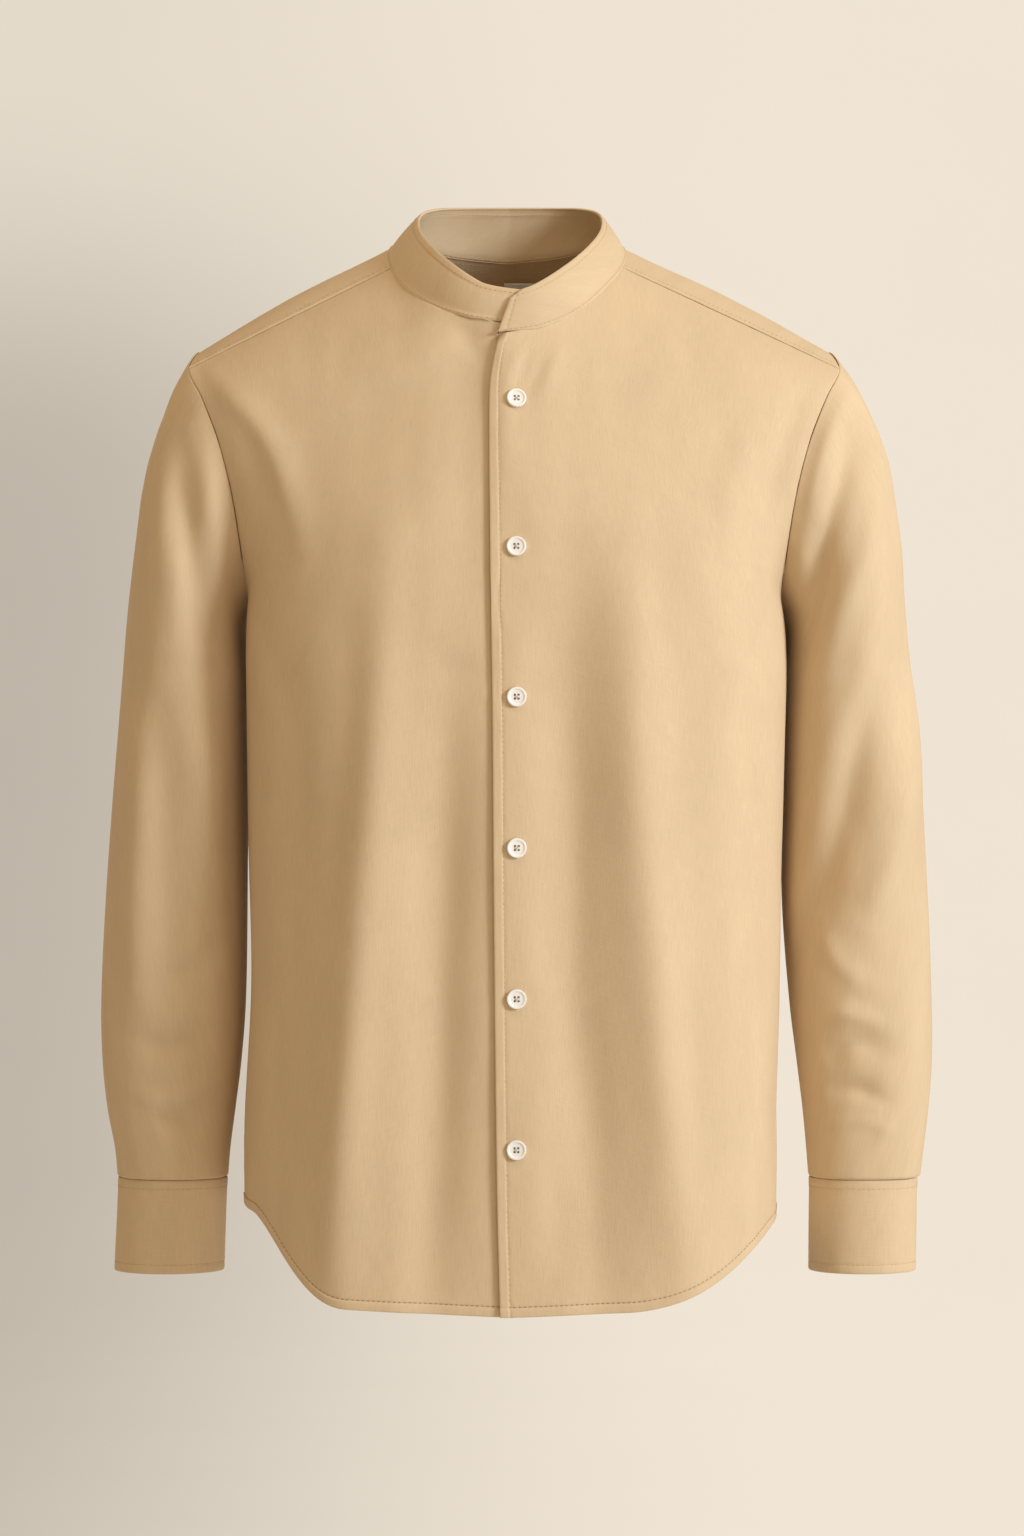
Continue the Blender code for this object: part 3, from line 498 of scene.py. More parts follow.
def sleeve_point(side, share, v):
    """Point of a sleeve: share round it as in ring_point, v from the armhole to the cuff."""
    table = SLEEVE_LEFT if side > 0 else SLEEVE_RIGHT
    if v >= SLEEVE_CAP:
        z = SLEEVE_START_RING + (CUFF_SEAM - SLEEVE_START_RING) * (v - SLEEVE_CAP) / (1 - SLEEVE_CAP)
        return ring_point(table, side, z, share)
    start = ARMHOLES[side].at(armhole_share(side, share))
    stop = ring_point(table, side, SLEEVE_START_RING, share)
    down = stop - ring_point(table, side, SLEEVE_START_RING - 10, share)
    down = down.normalized()
    span = (stop - start).length
    begin = start + sleeve_leave(side, share) * span * 0.34
    finish = stop + down * span * 0.36
    return bezier(start, begin, finish, stop, v / SLEEVE_CAP)


def armhole_share(side, share):
    """Match the sleeve's share (0.5 at the armpit) to the armhole's length."""
    pit = ARMHOLES[side].mark(ARMPIT)
    if share <= 0.5:
        return pit * share / 0.5
    return pit + (1 - pit) * (share - 0.5) / 0.5


# ---------------------------------------------------------------- folds

class Crease:
    """A soft fold along a line of (x, z) places; depth is outwards and skew makes one flank steeper."""

    def __init__(self, line, width, depth, skew=0.0):
        self.spans = []
        self.width, self.depth, self.skew = width, depth, skew
        run = 0.0
        points = Path([(x, z, 0) for x, z in line], steps=4).samples
        for a, b in zip(points, points[1:]):
            length = (b - a).length
            self.spans.append((a.x, a.y, (b.x - a.x) / length, (b.y - a.y) / length, length, run))
            run += length
        self.total = run
        reach = 2.6 * width
        self.low = (min(p.x for p in points) - reach, min(p.y for p in points) - reach)
        self.high = (max(p.x for p in points) + reach, max(p.y for p in points) + reach)
        self.seed = line[0][0] * 0.37 + line[0][1] * 0.11

    def at(self, x, z):
        if not (self.low[0] < x < self.high[0] and self.low[1] < z < self.high[1]):
            return 0.0
        nearest = None
        for ax, az, dx, dz, length, run in self.spans:
            along = min(max((x - ax) * dx + (z - az) * dz, 0.0), length)
            off_x, off_z = x - ax - along * dx, z - az - along * dz
            off = math.hypot(off_x, off_z)
            if nearest is None or off < nearest[0]:
                nearest = (off, run + along, dx * off_z - dz * off_x)
        off, along, turn = nearest
        share = along / self.total
        uneven = noise.noise(Vector((share * 3.1, self.seed, 0.5)))
        width = self.width * (1 + 0.3 * uneven) * (1 + math.copysign(self.skew, turn))
        swell = math.sin(math.pi * min(max(share, 0.03), 0.97)) ** 0.6
        return self.depth * swell * (1 + 0.35 * uneven) * math.exp(-((off / width) ** 2))


def creases(table):
    return [Crease(*row) for row in table]


def ripple(x, z, seed, across=1.0, along=1.0):
    """Slight unevenness of hanging cloth, longer up and down than across."""
    slow = noise.noise(Vector((x / (46 * across), z / (150 * along), seed)))
    quick = noise.noise(Vector((x / (17 * across), z / (55 * along), seed + 7.3)))
    return 0.9 * slow + 0.28 * quick


# Folds of the fronts. Columns: line of (x, z) places, width, depth (out is +), skew.
FRONT_CREASES = creases((
    (((36, -225), (34, -357), (37, -485), (50, -618), (58, -760)), 22, -9.5, 0.0),
    (((76, -205), (82, -357), (92, -485), (108, -630), (120, -740)), 20, 9.5, 0.0),
    (((-84, -215), (-92, -350), (-102, -485), (-114, -652), (-120, -760)), 20, 10.0, 0.0),
    (((-44, -300), (-50, -400), (-52, -518), (-58, -760)), 18, -10.5, 0.0),
    (((-146, -260), (-158, -518), (-162, -720)), 20, -3.5, 0.0),
    (((-207, -96), (-174, -131), (-157, -166), (-146, -210)), 10, 4.0, 0.2),
    (((200, -104), (187, -138), (174, -180), (166, -228)), 10, -4.0, -0.2),
    (((158, -128), (150, -165), (146, -205)), 11, 2.2, 0.0),
    (((4, -76), (0, -88), (-4, -102)), 3.2, 0.9, 0.2),
    (((10, -76), (6, -92), (1, -106)), 3.0, -0.9, 0.2),
    (((22, -76), (16, -92), (7, -112)), 4.5, -1.2, 0.3),
    (((31, -72), (26, -90), (19, -112)), 5.0, 1.0, 0.0),
    (((-38, -58), (-30, -72), (-20, -84)), 7.0, -1.3, 0.0),
    (((28, -330), (33, -430), (31, -540)), 11, 1.3, 0.0),
    (((24, -600), (30, -665), (28, -725)), 10, -1.3, 0.0),
    (((-50, -420), (-56, -520), (-54, -640)), 12, 1.2, 0.2),
    (((110, -480), (118, -590), (122, -700)), 13, -1.6, 0.0),
    (((-112, -420), (-118, -560), (-124, -700)), 11, 1.4, 0.0),
    (((172, -262), (160, -300), (150, -350)), 9, -1.6, 0.3),
    (((-170, -262), (-160, -300), (-152, -345)), 9, -1.5, -0.3),
    (((176, -300), (168, -360), (166, -430)), 8, 1.3, 0.0),
))
BACK_CREASES = creases((
    (((-62, -115), (-74, -300), (-92, -520), (-100, -780)), 22, 6.0, 0.0),
    (((66, -115), (80, -300), (90, -520), (104, -780)), 22, 6.0, 0.0),
    (((0, -200), (-6, -420), (4, -780)), 26, -5.0, 0.0),
    (((-140, -190), (-146, -420), (-150, -740)), 20, -4.0, 0.0),
    (((142, -190), (148, -420), (150, -740)), 20, -4.0, 0.0),
    (((-176, -150), (-156, -190), (-128, -230)), 11, -2.4, 0.2),
    (((174, -152), (150, -196), (122, -232)), 12, -2.2, -0.2),
    (((-30, -330), (-38, -450), (-34, -600)), 12, 1.8, 0.0),
    (((38, -380), (46, -520), (42, -690)), 13, 1.6, 0.0),
    (((-118, -430), (-124, -560), (-120, -690)), 11, 1.7, 0.0),
    (((120, -330), (126, -470), (128, -620)), 12, 1.5, 0.0),
    (((-52, -520), (-58, -620), (-66, -720)), 10, -1.5, 0.0),
))
# Folds on the front half and the back half of each sleeve, by side.
SLEEVE_FRONT_CREASES = {
    1: creases((
        (((236, -120), (224, -165), (206, -225), (197, -280)), 10, -7.0, 0.2),
        (((254, -150), (244, -205), (222, -262), (204, -320)), 10, 4.5, 0.0),
        (((258, -296), (236, -350), (220, -410), (203, -470)), 16, -9.5, 0.1),
        (((286, -268), (276, -330), (262, -400), (240, -465)), 14, 5.5, 0.0),
        (((262, -560), (236, -552), (212, -566)), 8, -3.5, 0.0),
        (((228, -105), (212, -140), (200, -190)), 7, 2.2, 0.0),
        (((268, -200), (250, -250), (232, -300)), 11, 1.8, 0.0),
        (((276, -360), (262, -420), (240, -470)), 11, 3.0, 0.2),
        (((208, -470), (226, -500), (250, -515)), 8, 2.4, 0.0),
        (((206, -540), (228, -532), (256, -540)), 6, 2.8, 0.0),
        (((214, -590), (234, -585), (262, -596)), 6, -3.2, 0.2),
        (((216, -612), (240, -606), (264, -616)), 5, 1.6, 0.0),
        (((246, -632), (258, -610), (270, -596)), 5, 1.4, 0.0),
    )),
    -1: creases((
        (((-212, -150), (-206, -200), (-200, -250)), 10, 2.4, 0.0),
        (((-232, -122), (-227, -180), (-216, -240), (-206, -290)), 13, -7.5, 0.0),
        (((-246, -300), (-240, -390), (-236, -480), (-240, -540)), 16, -5.5, 0.0),
        (((-216, -320), (-209, -390), (-208, -470)), 11, 4.0, 0.0),
        (((-262, -250), (-262, -340), (-256, -440), (-252, -520)), 12, 3.0, 0.0),
        (((-262, -548), (-240, -556), (-218, -548)), 8, -3.5, 0.0),
        (((-262, -170), (-262, -260), (-266, -360)), 12, -2.0, 0.0),
        (((-268, -400), (-264, -480), (-258, -540)), 10, 2.2, 0.0),
        (((-206, -480), (-222, -500), (-246, -510)), 7, -1.8, 0.2),
        (((-264, -588), (-242, -594), (-216, -588)), 6, 3.0, 0.2),
        (((-258, -612), (-240, -606), (-214, -614)), 5, -1.7, 0.0),
        (((-236, -640), (-244, -618), (-256, -600)), 5, 1.3, 0.0),
    )),
}
SLEEVE_BACK_CREASES = {
    side: creases((
        (((side * 236, -130), (side * 222, -200), (side * 204, -290)), 10, -5.0, 0.0),
        (((side * 262, -330), (side * 238, -400), (side * 210, -430)), 14, -6.0, 0.2),
        (((side * 252, -500), (side * 236, -560), (side * 222, -610)), 10, 3.5, 0.0),
        (((side * 268, -380), (side * 250, -440), (side * 216, -470)), 10, 2.8, 0.0),
        (((side * 258, -420), (side * 236, -462), (side * 214, -500)), 9, -2.2, 0.0),
        (((side * 244, -160), (side * 236, -230), (side * 220, -310)), 9, 2.0, 0.0),
        (((side * 260, -596), (side * 240, -604), (side * 220, -596)), 6, -1.8, 0.0),
    ))
    for side in (1, -1)
}
BUTTON_DIMPLE = 1.0      # how far a button pulls the cloth in
DIMPLE_REACH = 10.0


def front_dimples(x, z):
    depth = 0.0
    for k in range(BUTTON_COUNT):
        down = z - (BUTTON_TOP - k * BUTTON_PITCH)
        off = math.hypot(x - BUTTON_LINE, down)
        if off < 30:
            pull = noise.noise(Vector((math.atan2(down, x - BUTTON_LINE) * 1.1, k * 3.3, 0.0)))
            depth -= BUTTON_DIMPLE * math.exp(-((off / DIMPLE_REACH) ** 2)) * (1 + 0.5 * pull)
            depth += 0.5 * pull * math.exp(-(((off - 13) / 8) ** 2))
    return depth


# ---------------------------------------------------------------- panels

SEAM_GAP = 0.12          # space left between two panels that are sewn together
STITCH_GROOVE = 0.28     # how deep a stitch line sinks into the cloth
GROOVE_WIDTH = 0.6
PUCKER_REACH = 5.0       # how far a stitch line's waves spread
RELIEF_REACH = 24.0      # an edge shapes nothing beyond this
FOLD_FADE = 16.0         # folds start this far from a seam


def spread(start, stop, count):
    return [start + (stop - start) * k / count for k in range(count + 1)]


def running(points):
    """Length from the first point to each point of a line."""
    lengths = [0.0]
    for a, b in zip(points, points[1:]):
        lengths.append(lengths[-1] + (b - a).length)
    return lengths


def by_length(curve, lead, trail, count, steps=48):
    """Parameters of a curve at set distances from both its ends, and evenly in between."""
    lengths = running([curve(k / steps) for k in range(steps + 1)])
    total = lengths[-1]
    inner = spread(lead[-1], total - trail[-1], count)[1:-1]
    found = []
    k = 0
    for wanted in list(lead) + inner + [total - distance for distance in reversed(trail)]:
        wanted = min(wanted, total)
        while k < steps - 1 and lengths[k + 1] < wanted:
            k += 1
        share = (wanted - lengths[k]) / (lengths[k + 1] - lengths[k])
        found.append(min(max((k + share) / steps, 0.0), 1.0))
    return found


def grid_normals(grid, wrap, toward, notch=(0, 0)):
    """Unit normals of a grid, all facing away from the point that toward(point) gives."""
    rows, columns = len(grid), len(grid[0])
    normals = []
    vote = 0.0
    for r in range(rows):
        line = []
        first = notch[1] if r < notch[0] else 0
        for c in range(columns):
            left = grid[r][(c - 1) % columns] if wrap else grid[r][max(c - 1, first)]
            right = grid[r][(c + 1) % columns] if wrap else grid[r][min(c + 1, columns - 1)]
            down = grid[min(r + 1, rows - 1)][c] - grid[max(r - 1, notch[0] if c < notch[1] else 0)][c]
            normal = (right - left).normalized().cross(down.normalized()).normalized()
            vote += normal.dot(grid[r][c] - toward(grid[r][c]))
            line.append(normal)
        normals.append(line)
    if vote < 0:
        normals = [[-normal for normal in line] for line in normals]
    return normals, vote > 0


class Edge:
    """How one edge of a panel is sewn, with sizes in millimetres.

    roll is how far its rim turns in and turn over what width; ply is the extra thickness of the
    layers under it, out to width; stitches are the distances of its stitch lines; pucker is the
    height of the small waves that the stitching draws into it. Folds fade out at a sewn edge.
    """

    def __init__(self, roll, turn=0.55, ply=0.0, width=0.0, stitches=(), pucker=0.0, sewn=False):
        self.roll, self.turn, self.ply, self.width = roll, turn, ply, width
        self.stitches, self.pucker, self.sewn = stitches, pucker, sewn

    def relief(self, off, along, seed):
        if off > RELIEF_REACH:
            return 0.0
        height = -self.roll * math.exp(-((off / self.turn) ** 2))
        if self.ply:
            height += self.ply * (1 - ease((off - self.width) / 1.0 + 0.5))
        for line in self.stitches:
            height -= STITCH_GROOVE * math.exp(-(((off - line) / GROOVE_WIDTH) ** 2))
        if self.pucker:
            middle = self.stitches[0] if self.stitches else 2.0
            wave = noise.noise(Vector((along / 6.5, seed, off / 30)))
            wave += 0.5 * noise.noise(Vector((along / 3.1, seed + 4.0, off / 20)))
            height += self.pucker * wave * math.exp(-(((off - middle) / PUCKER_REACH) ** 2))
        return height


SEAM = Edge(0.5, 0.45, pucker=0.22, sewn=True)
NECK_JOIN = Edge(0.2, pucker=0.2, sewn=True)
HEM = Edge(0.3, 0.45, ply=0.5, width=6.0, stitches=(6.6,), pucker=0.30)


class Panel:
    """A cut piece as a grid of points in millimetres, with its normals and lengths each way.

    notch is the number of rows and columns cut out of its first corner; the points there repeat
    the start of their row.
    """

    def __init__(self, name, grid, toward, wrap=False, edges=None, start_of_row=None, notch=(0, 0)):
        self.name, self.grid, self.wrap, self.notch = name, grid, wrap, notch
        self.edges = edges or {}
        self.normals, self.outward = grid_normals(grid, wrap, toward, notch)
        self.toward = toward
        self.across = [running(line + line[:1] if wrap else line) for line in grid]
        self.down = [running([line[c] for line in grid]) for c in range(len(grid[0]))]
        self.start_of_row = start_of_row or (lambda r: 0.0)
        self.flat = self.cut_size()

    def cut_size(self):
        """Width, length and area of the smooth cloth, in metres."""
        area = 0.0
        for r in range(len(self.grid) - 1):
            line, below = self.grid[r], self.grid[r + 1]
            count = len(line)
            for c in range(count if self.wrap else count - 1):
                a, b, p, q = line[c], line[(c + 1) % count], below[c], below[(c + 1) % count]
                area += ((b - a).cross(p - a).length + (b - q).cross(p - q).length) / 2
        width = max(row[-1] for row in self.across)
        length = max(column[-1] for column in self.down)
        return width * MM, length * MM, area * MM * MM

    def off_edge(self, r, c, name):
        if name == "start":
            return self.across[r][c]
        if name == "end":
            return self.across[r][-1] - self.across[r][c]
        if name == "top":
            return self.down[c][r] - self.down[c][self.notch[0] if c < self.notch[1] else 0]
        return self.down[c][-1] - self.down[c][r]

    def below_notch(self, r, c):
        return self.down[c][r] - self.down[c][self.notch[0]]

    def sew(self, folds, base=lambda point: 0.0):
        """Move every point along its normal by the folds, by its base and by how its edges are sewn."""
        strength = bpy.context.scene.shirt_sizes.folds
        moved = []
        for r, line in enumerate(self.grid):
            row = []
            for c, point in enumerate(line):
                fade = 1.0
                relief = 0.0
                for name, edge in self.edges.items():
                    if name == "start" and r < self.notch[0] or name == "top" and c < self.notch[1]:
                        edge = NECK_JOIN
                    off = self.off_edge(r, c, name)
                    if name == "start" and r >= self.notch[0] > 0:
                        relief += edge.relief(off, self.down[c][r], 2.0) * ease(self.below_notch(r, c) / 4.0)
                        continue
                    along = self.down[c][r] if name in ("start", "end") else self.across[r][c]
                    relief += edge.relief(off, along, len(self.name) + len(name) * 1.7)
                    if edge.sewn:
                        fade *= ease(off / FOLD_FADE)
                height = relief + strength * fade * folds(point) + base(point)
                row.append(point + self.normals[r][c] * height)
            moved.append(row)
        self.grid = moved
        self.draw_in_seams()
        self.normals, _ = grid_normals(self.grid, self.wrap, self.toward, self.notch)
        return self

    def draw_in_seams(self):
        """Leave a hair of space at the seams."""
        for name, edge in self.edges.items():
            if not edge.sewn:
                continue
            if name in ("top", "bottom"):
                r, inner = (0, 1) if name == "top" else (-1, -2)
                self.grid[r] = [
                    p + (q - p).normalized() * SEAM_GAP if (q - p).length > 1e-6 else p
                    for p, q in zip(self.grid[r], self.grid[inner])
                ]
            else:
                c, inner = (0, 1) if name == "start" else (-1, -2)
                for line in self.grid:
                    line[c] = line[c] + (line[inner] - line[c]).normalized() * SEAM_GAP

    def nearest_row(self, off, name, column=None):
        """Row at a distance from the top or the bottom edge."""
        column = len(self.grid[0]) // 2 if column is None else column
        return min(range(len(self.grid)), key=lambda r: abs(self.off_edge(r, column, name) - off))

    def row(self, r, start=0, stop=None):
        return [(self.grid[r][c], self.normals[r][c]) for c in range(len(self.grid[0]))][start:stop]

    def column(self, c, start=0, stop=None):
        return [(line[c], normals[c]) for line, normals in zip(self.grid, self.normals)][start:stop]

    def build(self, thickness, material, node, with_pieces=()):
        """The panel as an object with its wall, riding the shirt and standing for its solid."""
        columns = len(self.grid[0])
        faces, uvs = [], []
        for r in range(len(self.grid) - 1):
            for c in range(columns if self.wrap else columns - 1):
                after = (c + 1) % columns
                if r < self.notch[0] and c < self.notch[1]:
                    continue
                corners = [(r, c, c), (r, after, c + 1), (r + 1, after, c + 1), (r + 1, c, c)]
                if not self.outward:
                    corners.reverse()
                faces.append([row * columns + column for row, column, _ in corners])
                for row, column, place in corners:
                    uvs += [(self.start_of_row(row) + self.across[row][place]) * MM,
                            -self.down[column][row] * MM]
        mesh = bpy.data.meshes.new(self.name)
        mesh.from_pydata([point * MM for line in self.grid for point in line], [], faces)
        mesh.uv_layers.new(name="Cloth").data.foreach_set("uv", uvs)
        mesh.shade_smooth()
        item = bpy.data.objects.new(self.name, mesh)
        bpy.context.scene.collection.objects.link(item)
        if self.notch[0]:
            drop_loose(item)
        wall = item.modifiers.new("Wall", "SOLIDIFY")
        wall.thickness = thickness
        wall.offset = -1.0
        item.data.materials.append(material)
        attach(item, "root")
        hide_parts(node)
        width, length, area = self.flat
        min(area, width * length)
        PANELS[self.name] = self
        return item


def drop_loose(item):
    """Remove the points of a mesh that no face uses."""
    shape = bmesh.new()
    shape.from_mesh(item.data)
    bmesh.ops.delete(shape, geom=[point for point in shape.verts if not point.link_faces], context="VERTS")
    shape.to_mesh(item.data)
    shape.free()


PANELS = {}              # what has been sewn so far, by name


def need(name):
    if name not in PANELS:
        raise RuntimeError("sew %s first" % name)
    return PANELS[name]


# ---------------------------------------------------------------- stitches

def resample(line, first, step):
    """Points, directions and normals along a line of (point, normal) at even steps."""
    lengths = running([point for point, _ in line])
    places = []
    k = 0
    wanted = first
    while wanted < lengths[-1] - first:
        while lengths[k + 1] < wanted:
            k += 1
        gap = lengths[k + 1] - lengths[k]
        share = (wanted - lengths[k]) / gap if gap else 0.0
        (a, normal_a), (b, normal_b) = line[k], line[k + 1]
        places.append((a.lerp(b, share), (b - a).normalized(), normal_a.lerp(normal_b, share).normalized()))
        wanted += step
    return places


# One stitch, along x. Columns: place along it as a share of its half length, thickness share, rise.
STITCH_SHAPE = (
    (-1.0, 0.35, -0.9), (-0.62, 0.95, 0.05), (0.0, 1.05, 0.32), (0.62, 0.95, 0.05), (1.0, 0.35, -0.9),
)
STITCH_SIDES = 5
STITCH_RISE = 0.18       # how far a stitch stands out, as a share of its thickness


def add_stitch(points, faces, middle, along, up, length, thickness, turn=0.0):
    """One stitch as a little spindle whose ends dip into the cloth."""
    side = up.cross(along).normalized()
    if turn:
        cos, sin = math.cos(turn), math.sin(turn)
        along, side = along * cos + side * sin, side * cos - along * sin
    base = len(points)
    for place, size, rise in STITCH_SHAPE:
        centre = middle + along * (place * length / 2) + up * (rise * thickness * 0.5)
        for k in range(STITCH_SIDES):
            angle = 2 * math.pi * k / STITCH_SIDES
            points.append(centre + (side * math.cos(angle) + up * math.sin(angle)) * size * thickness / 2)
    rings = len(STITCH_SHAPE)
    for ring in range(rings - 1):
        for k in range(STITCH_SIDES):
            a = base + ring * STITCH_SIDES + k
            b = base + ring * STITCH_SIDES + (k + 1) % STITCH_SIDES
            faces.append((a, a + STITCH_SIDES, b + STITCH_SIDES, b))
    faces.append([base + k for k in range(STITCH_SIDES)])
    faces.append([base + (rings - 1) * STITCH_SIDES + k for k in reversed(range(STITCH_SIDES))])


def sewn_piece(name, points, faces, material, slot="cotton"):
    mesh = bpy.data.meshes.new(name)
    mesh.from_pydata([point * MM for point in points], [], faces)
    mesh.shade_smooth()
    item = bpy.data.objects.new(name, mesh)
    bpy.context.scene.collection.objects.link(item)
    item.data.materials.append(material)
    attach(item, "root")
    return item


def stitch_lines(name, lines, material=None):
    """All stitches along lines of (point, normal), joined in one piece."""
    sizes = bpy.context.scene.shirt_sizes
    length, gap, thickness = sizes.stitch / MM, sizes.gap / MM, sizes.thread / MM
    points, faces = [], []
    for line in lines:
        for k, (middle, along, up) in enumerate(resample(line, length * 0.8, length + gap)):
            slant = 0.05 * noise.noise(Vector((k * 0.7, middle.x * 0.05, middle.z * 0.05)))
            add_stitch(points, faces, middle + up * (thickness * STITCH_RISE), along, up, length, thickness,
                       slant)
    return sewn_piece(name, points, faces, material or thread_material())


def inner_side(line, depth):
    """The same line on the cloth's inner side."""
    return [(point - normal * depth, -normal) for point, normal in line]


# ---------------------------------------------------------------- sizes and colours

def length_setting(name, description, default, least):
    return FloatProperty(name=name, description=description, default=default, min=least, unit="LENGTH")


def colour_setting(name, description, default):
    return FloatVectorProperty(
        name=name, description=description, default=default, min=0, max=1, subtype="COLOR",
    )


class ShirtSizes(bpy.types.PropertyGroup):
    """Sizes of the shirt's cloth and stitching."""

    cloth: length_setting("Cloth", "Thickness of one ply of shirt cloth", 0.0008, 0.0002)
    band: length_setting("Band", "Thickness of the collar and the cuffs", 0.0019, 0.0004)
    stitch: length_setting("Stitch", "Length of one stitch", 0.0026, 0.001)
    gap: length_setting("Stitch gap", "Space between two stitches", 0.0009, 0.0002)
    thread: length_setting("Thread", "Thickness of the sewing thread", 0.00042, 0.0001)
    folds: FloatProperty(
        name="Folds", description="Strength of the folds, 1 as modelled", default=1.0, min=0.0, max=2.0,
        subtype="FACTOR",
    )


class ShirtColours(bpy.types.PropertyGroup):
    """Colours of the shirt and its surroundings."""

    cotton: colour_setting("Cotton", "Colour of the cloth", (0.66, 0.50, 0.315))
    thread: colour_setting("Thread", "Colour of the sewing thread", (0.62, 0.42, 0.23))
    # the hem thread's own colour darkened with painted shade of its stitch holes
    hem: colour_setting("Hem thread with painted shade", "Colour of the thread at the hem", (0.34, 0.21, 0.11))
    pale: colour_setting("Button thread", "Colour of the thread on the buttons", (0.66, 0.60, 0.50))
    button: colour_setting("Buttons", "Colour of the buttons", (0.86, 0.84, 0.80))
    label: colour_setting("Label", "Colour of the neck label", (0.88, 0.87, 0.84))
    # glow colour of the floor and the backdrop, which the backdrop dims with painted shade towards the left
    # and lower down
    backdrop: colour_setting("Backdrop", "Colour of the floor and the backdrop", (0.80, 0.72, 0.61))


# ---------------------------------------------------------------- finishes

class Wire:
    """A value socket; sums written on it become Math nodes."""

    def __init__(self, finish, socket):
        self.finish, self.socket = finish, socket

    def maths(self, operation, first, second):
        return self.finish.node("ShaderNodeMath", {"operation": operation}, {0: first, 1: second})

    def __add__(self, other):
        return self.maths("ADD", self, other)

    def __radd__(self, other):
        return self.maths("ADD", other, self)

    def __sub__(self, other):
        return self.maths("SUBTRACT", self, other)

    def __rsub__(self, other):
        return self.maths("SUBTRACT", other, self)

    def __mul__(self, other):
        return self.maths("MULTIPLY", self, other)

    def __rmul__(self, other):
        return self.maths("MULTIPLY", other, self)


class Finish:
    """A material being put together from nodes."""

    def __init__(self, name, **constants):
        self.material = bpy.data.materials.new(name)
        self.material.use_nodes = True
        self.tree = self.material.node_tree
        self.shader = self.tree.nodes["Principled BSDF"]
        for socket, value in constants.items():
            self.shader.inputs[socket.replace("_", " ")].default_value = value

    def feed(self, socket, value):
        if isinstance(value, Wire):
            self.tree.links.new(value.socket, socket)
        else:
            socket.default_value = value

    def node(self, kind, settings=None, inputs=None, output=0):
        node = self.tree.nodes.new(kind)
        for key, value in (settings or {}).items():
            setattr(node, key, value)
        for key, value in (inputs or {}).items():
            self.feed(node.inputs[key], value)
        return Wire(self, node.outputs[output])

    def cloth_place(self, across, along):
        """The cloth's own place, in metres, scaled each way."""
        place = self.node("ShaderNodeUVMap", {"uv_map": "Cloth"})
        return self.node("ShaderNodeVectorMath", {"operation": "MULTIPLY"}, {0: place, 1: (across, along, 1)})

    def object_place(self, scale):
        place = self.node("ShaderNodeTexCoord", output="Object")
        return self.node("ShaderNodeVectorMath", {"operation": "MULTIPLY"}, {0: place, 1: scale})

    def noise(self, place, detail=2.0, rough=0.5):
        return self.node("ShaderNodeTexNoise", inputs={"Vector": place, "Scale": 1.0, "Detail": detail,
                                                       "Roughness": rough})

    def mix(self, factor, first, second):
        return self.node("ShaderNodeMix", {"data_type": "RGBA"}, {0: factor, 6: first, 7: second}, output=2)

    def bump(self, height, distance, strength=1.0):
        return self.node("ShaderNodeBump", inputs={"Height": height, "Distance": distance,
                                                   "Strength": strength})

    def apply(self, **wires):
        for socket, wire in wires.items():
            self.feed(self.shader.inputs[socket.replace("_", " ")], wire)
        return self.material


def shade(colour, factor):
    return (*(min(part * factor, 1.0) for part in colour), 1.0)


YARN = 0.00062           # spacing of the weave's yarns


def cotton_material():
    """Fine plain-weave cotton with slubs along the warp."""
    made = bpy.data.materials.get("Brushed cotton")
    if made:
        return made
    colour = bpy.context.scene.shirt_colours.cotton
    finish = Finish("Brushed cotton", Sheen_Weight=0.22, Sheen_Roughness=0.42,
                    Sheen_Tint=(1.0, 0.86, 0.68, 1.0), Specular_IOR_Level=0.22)
    warp = finish.noise(finish.cloth_place(1250, 70), 3.0, 0.6)
    weft = finish.noise(finish.cloth_place(70, 1300), 2.0)
    mottle = finish.noise(finish.cloth_place(34, 11), 2.0)
    pair = []
    for across, along in ((2 * math.pi / YARN, 0.0), (0.0, 2 * math.pi / YARN)):
        place = finish.cloth_place(across, along)
        run = finish.node("ShaderNodeVectorMath", {"operation": "DOT_PRODUCT"}, {0: place, 1: (1, 1, 0)},
                          output="Value")
        pair.append(finish.node("ShaderNodeMath", {"operation": "SINE"}, {0: run}))
    weave = pair[0] * pair[1]
    depth = 0.5 + (warp - 0.5) * 0.9 + (weft - 0.5) * 0.4 + (mottle - 0.5) * 0.6 + weave * 0.06
    tone = finish.mix(depth, shade(colour, 0.86), shade(colour, 1.13))
    height = warp * 0.75 + weft * 0.35 + weave * 0.22
    return finish.apply(
        Base_Color=tone,
        Roughness=0.90 - warp * 0.12,
        Normal=finish.bump(height, 0.00022, 0.55),
    )


def thread_material(name="Sewing thread"):
    """Twisted thread, coloured by its name."""
    made = bpy.data.materials.get(name)
    if made:
        return made
    colours = bpy.context.scene.shirt_colours
    colour = {"Sewing thread": colours.thread, "Hem thread with painted shade": colours.hem, "Button thread": colours.pale}[name]
    finish = Finish(name, Sheen_Weight=0.3, Sheen_Roughness=0.35)
    fibre = finish.noise(finish.object_place((2600, 2600, 2600)), 2.0)
    patch = finish.noise(finish.object_place((60, 60, 60)), 1.0)
    return finish.apply(
        Base_Color=finish.mix(fibre * 0.7 + patch * 0.3, shade(colour, 0.72), shade(colour, 1.18)),
        Roughness=0.72 - fibre * 0.2,
        Normal=finish.bump(fibre, 0.00006, 0.6),
    )


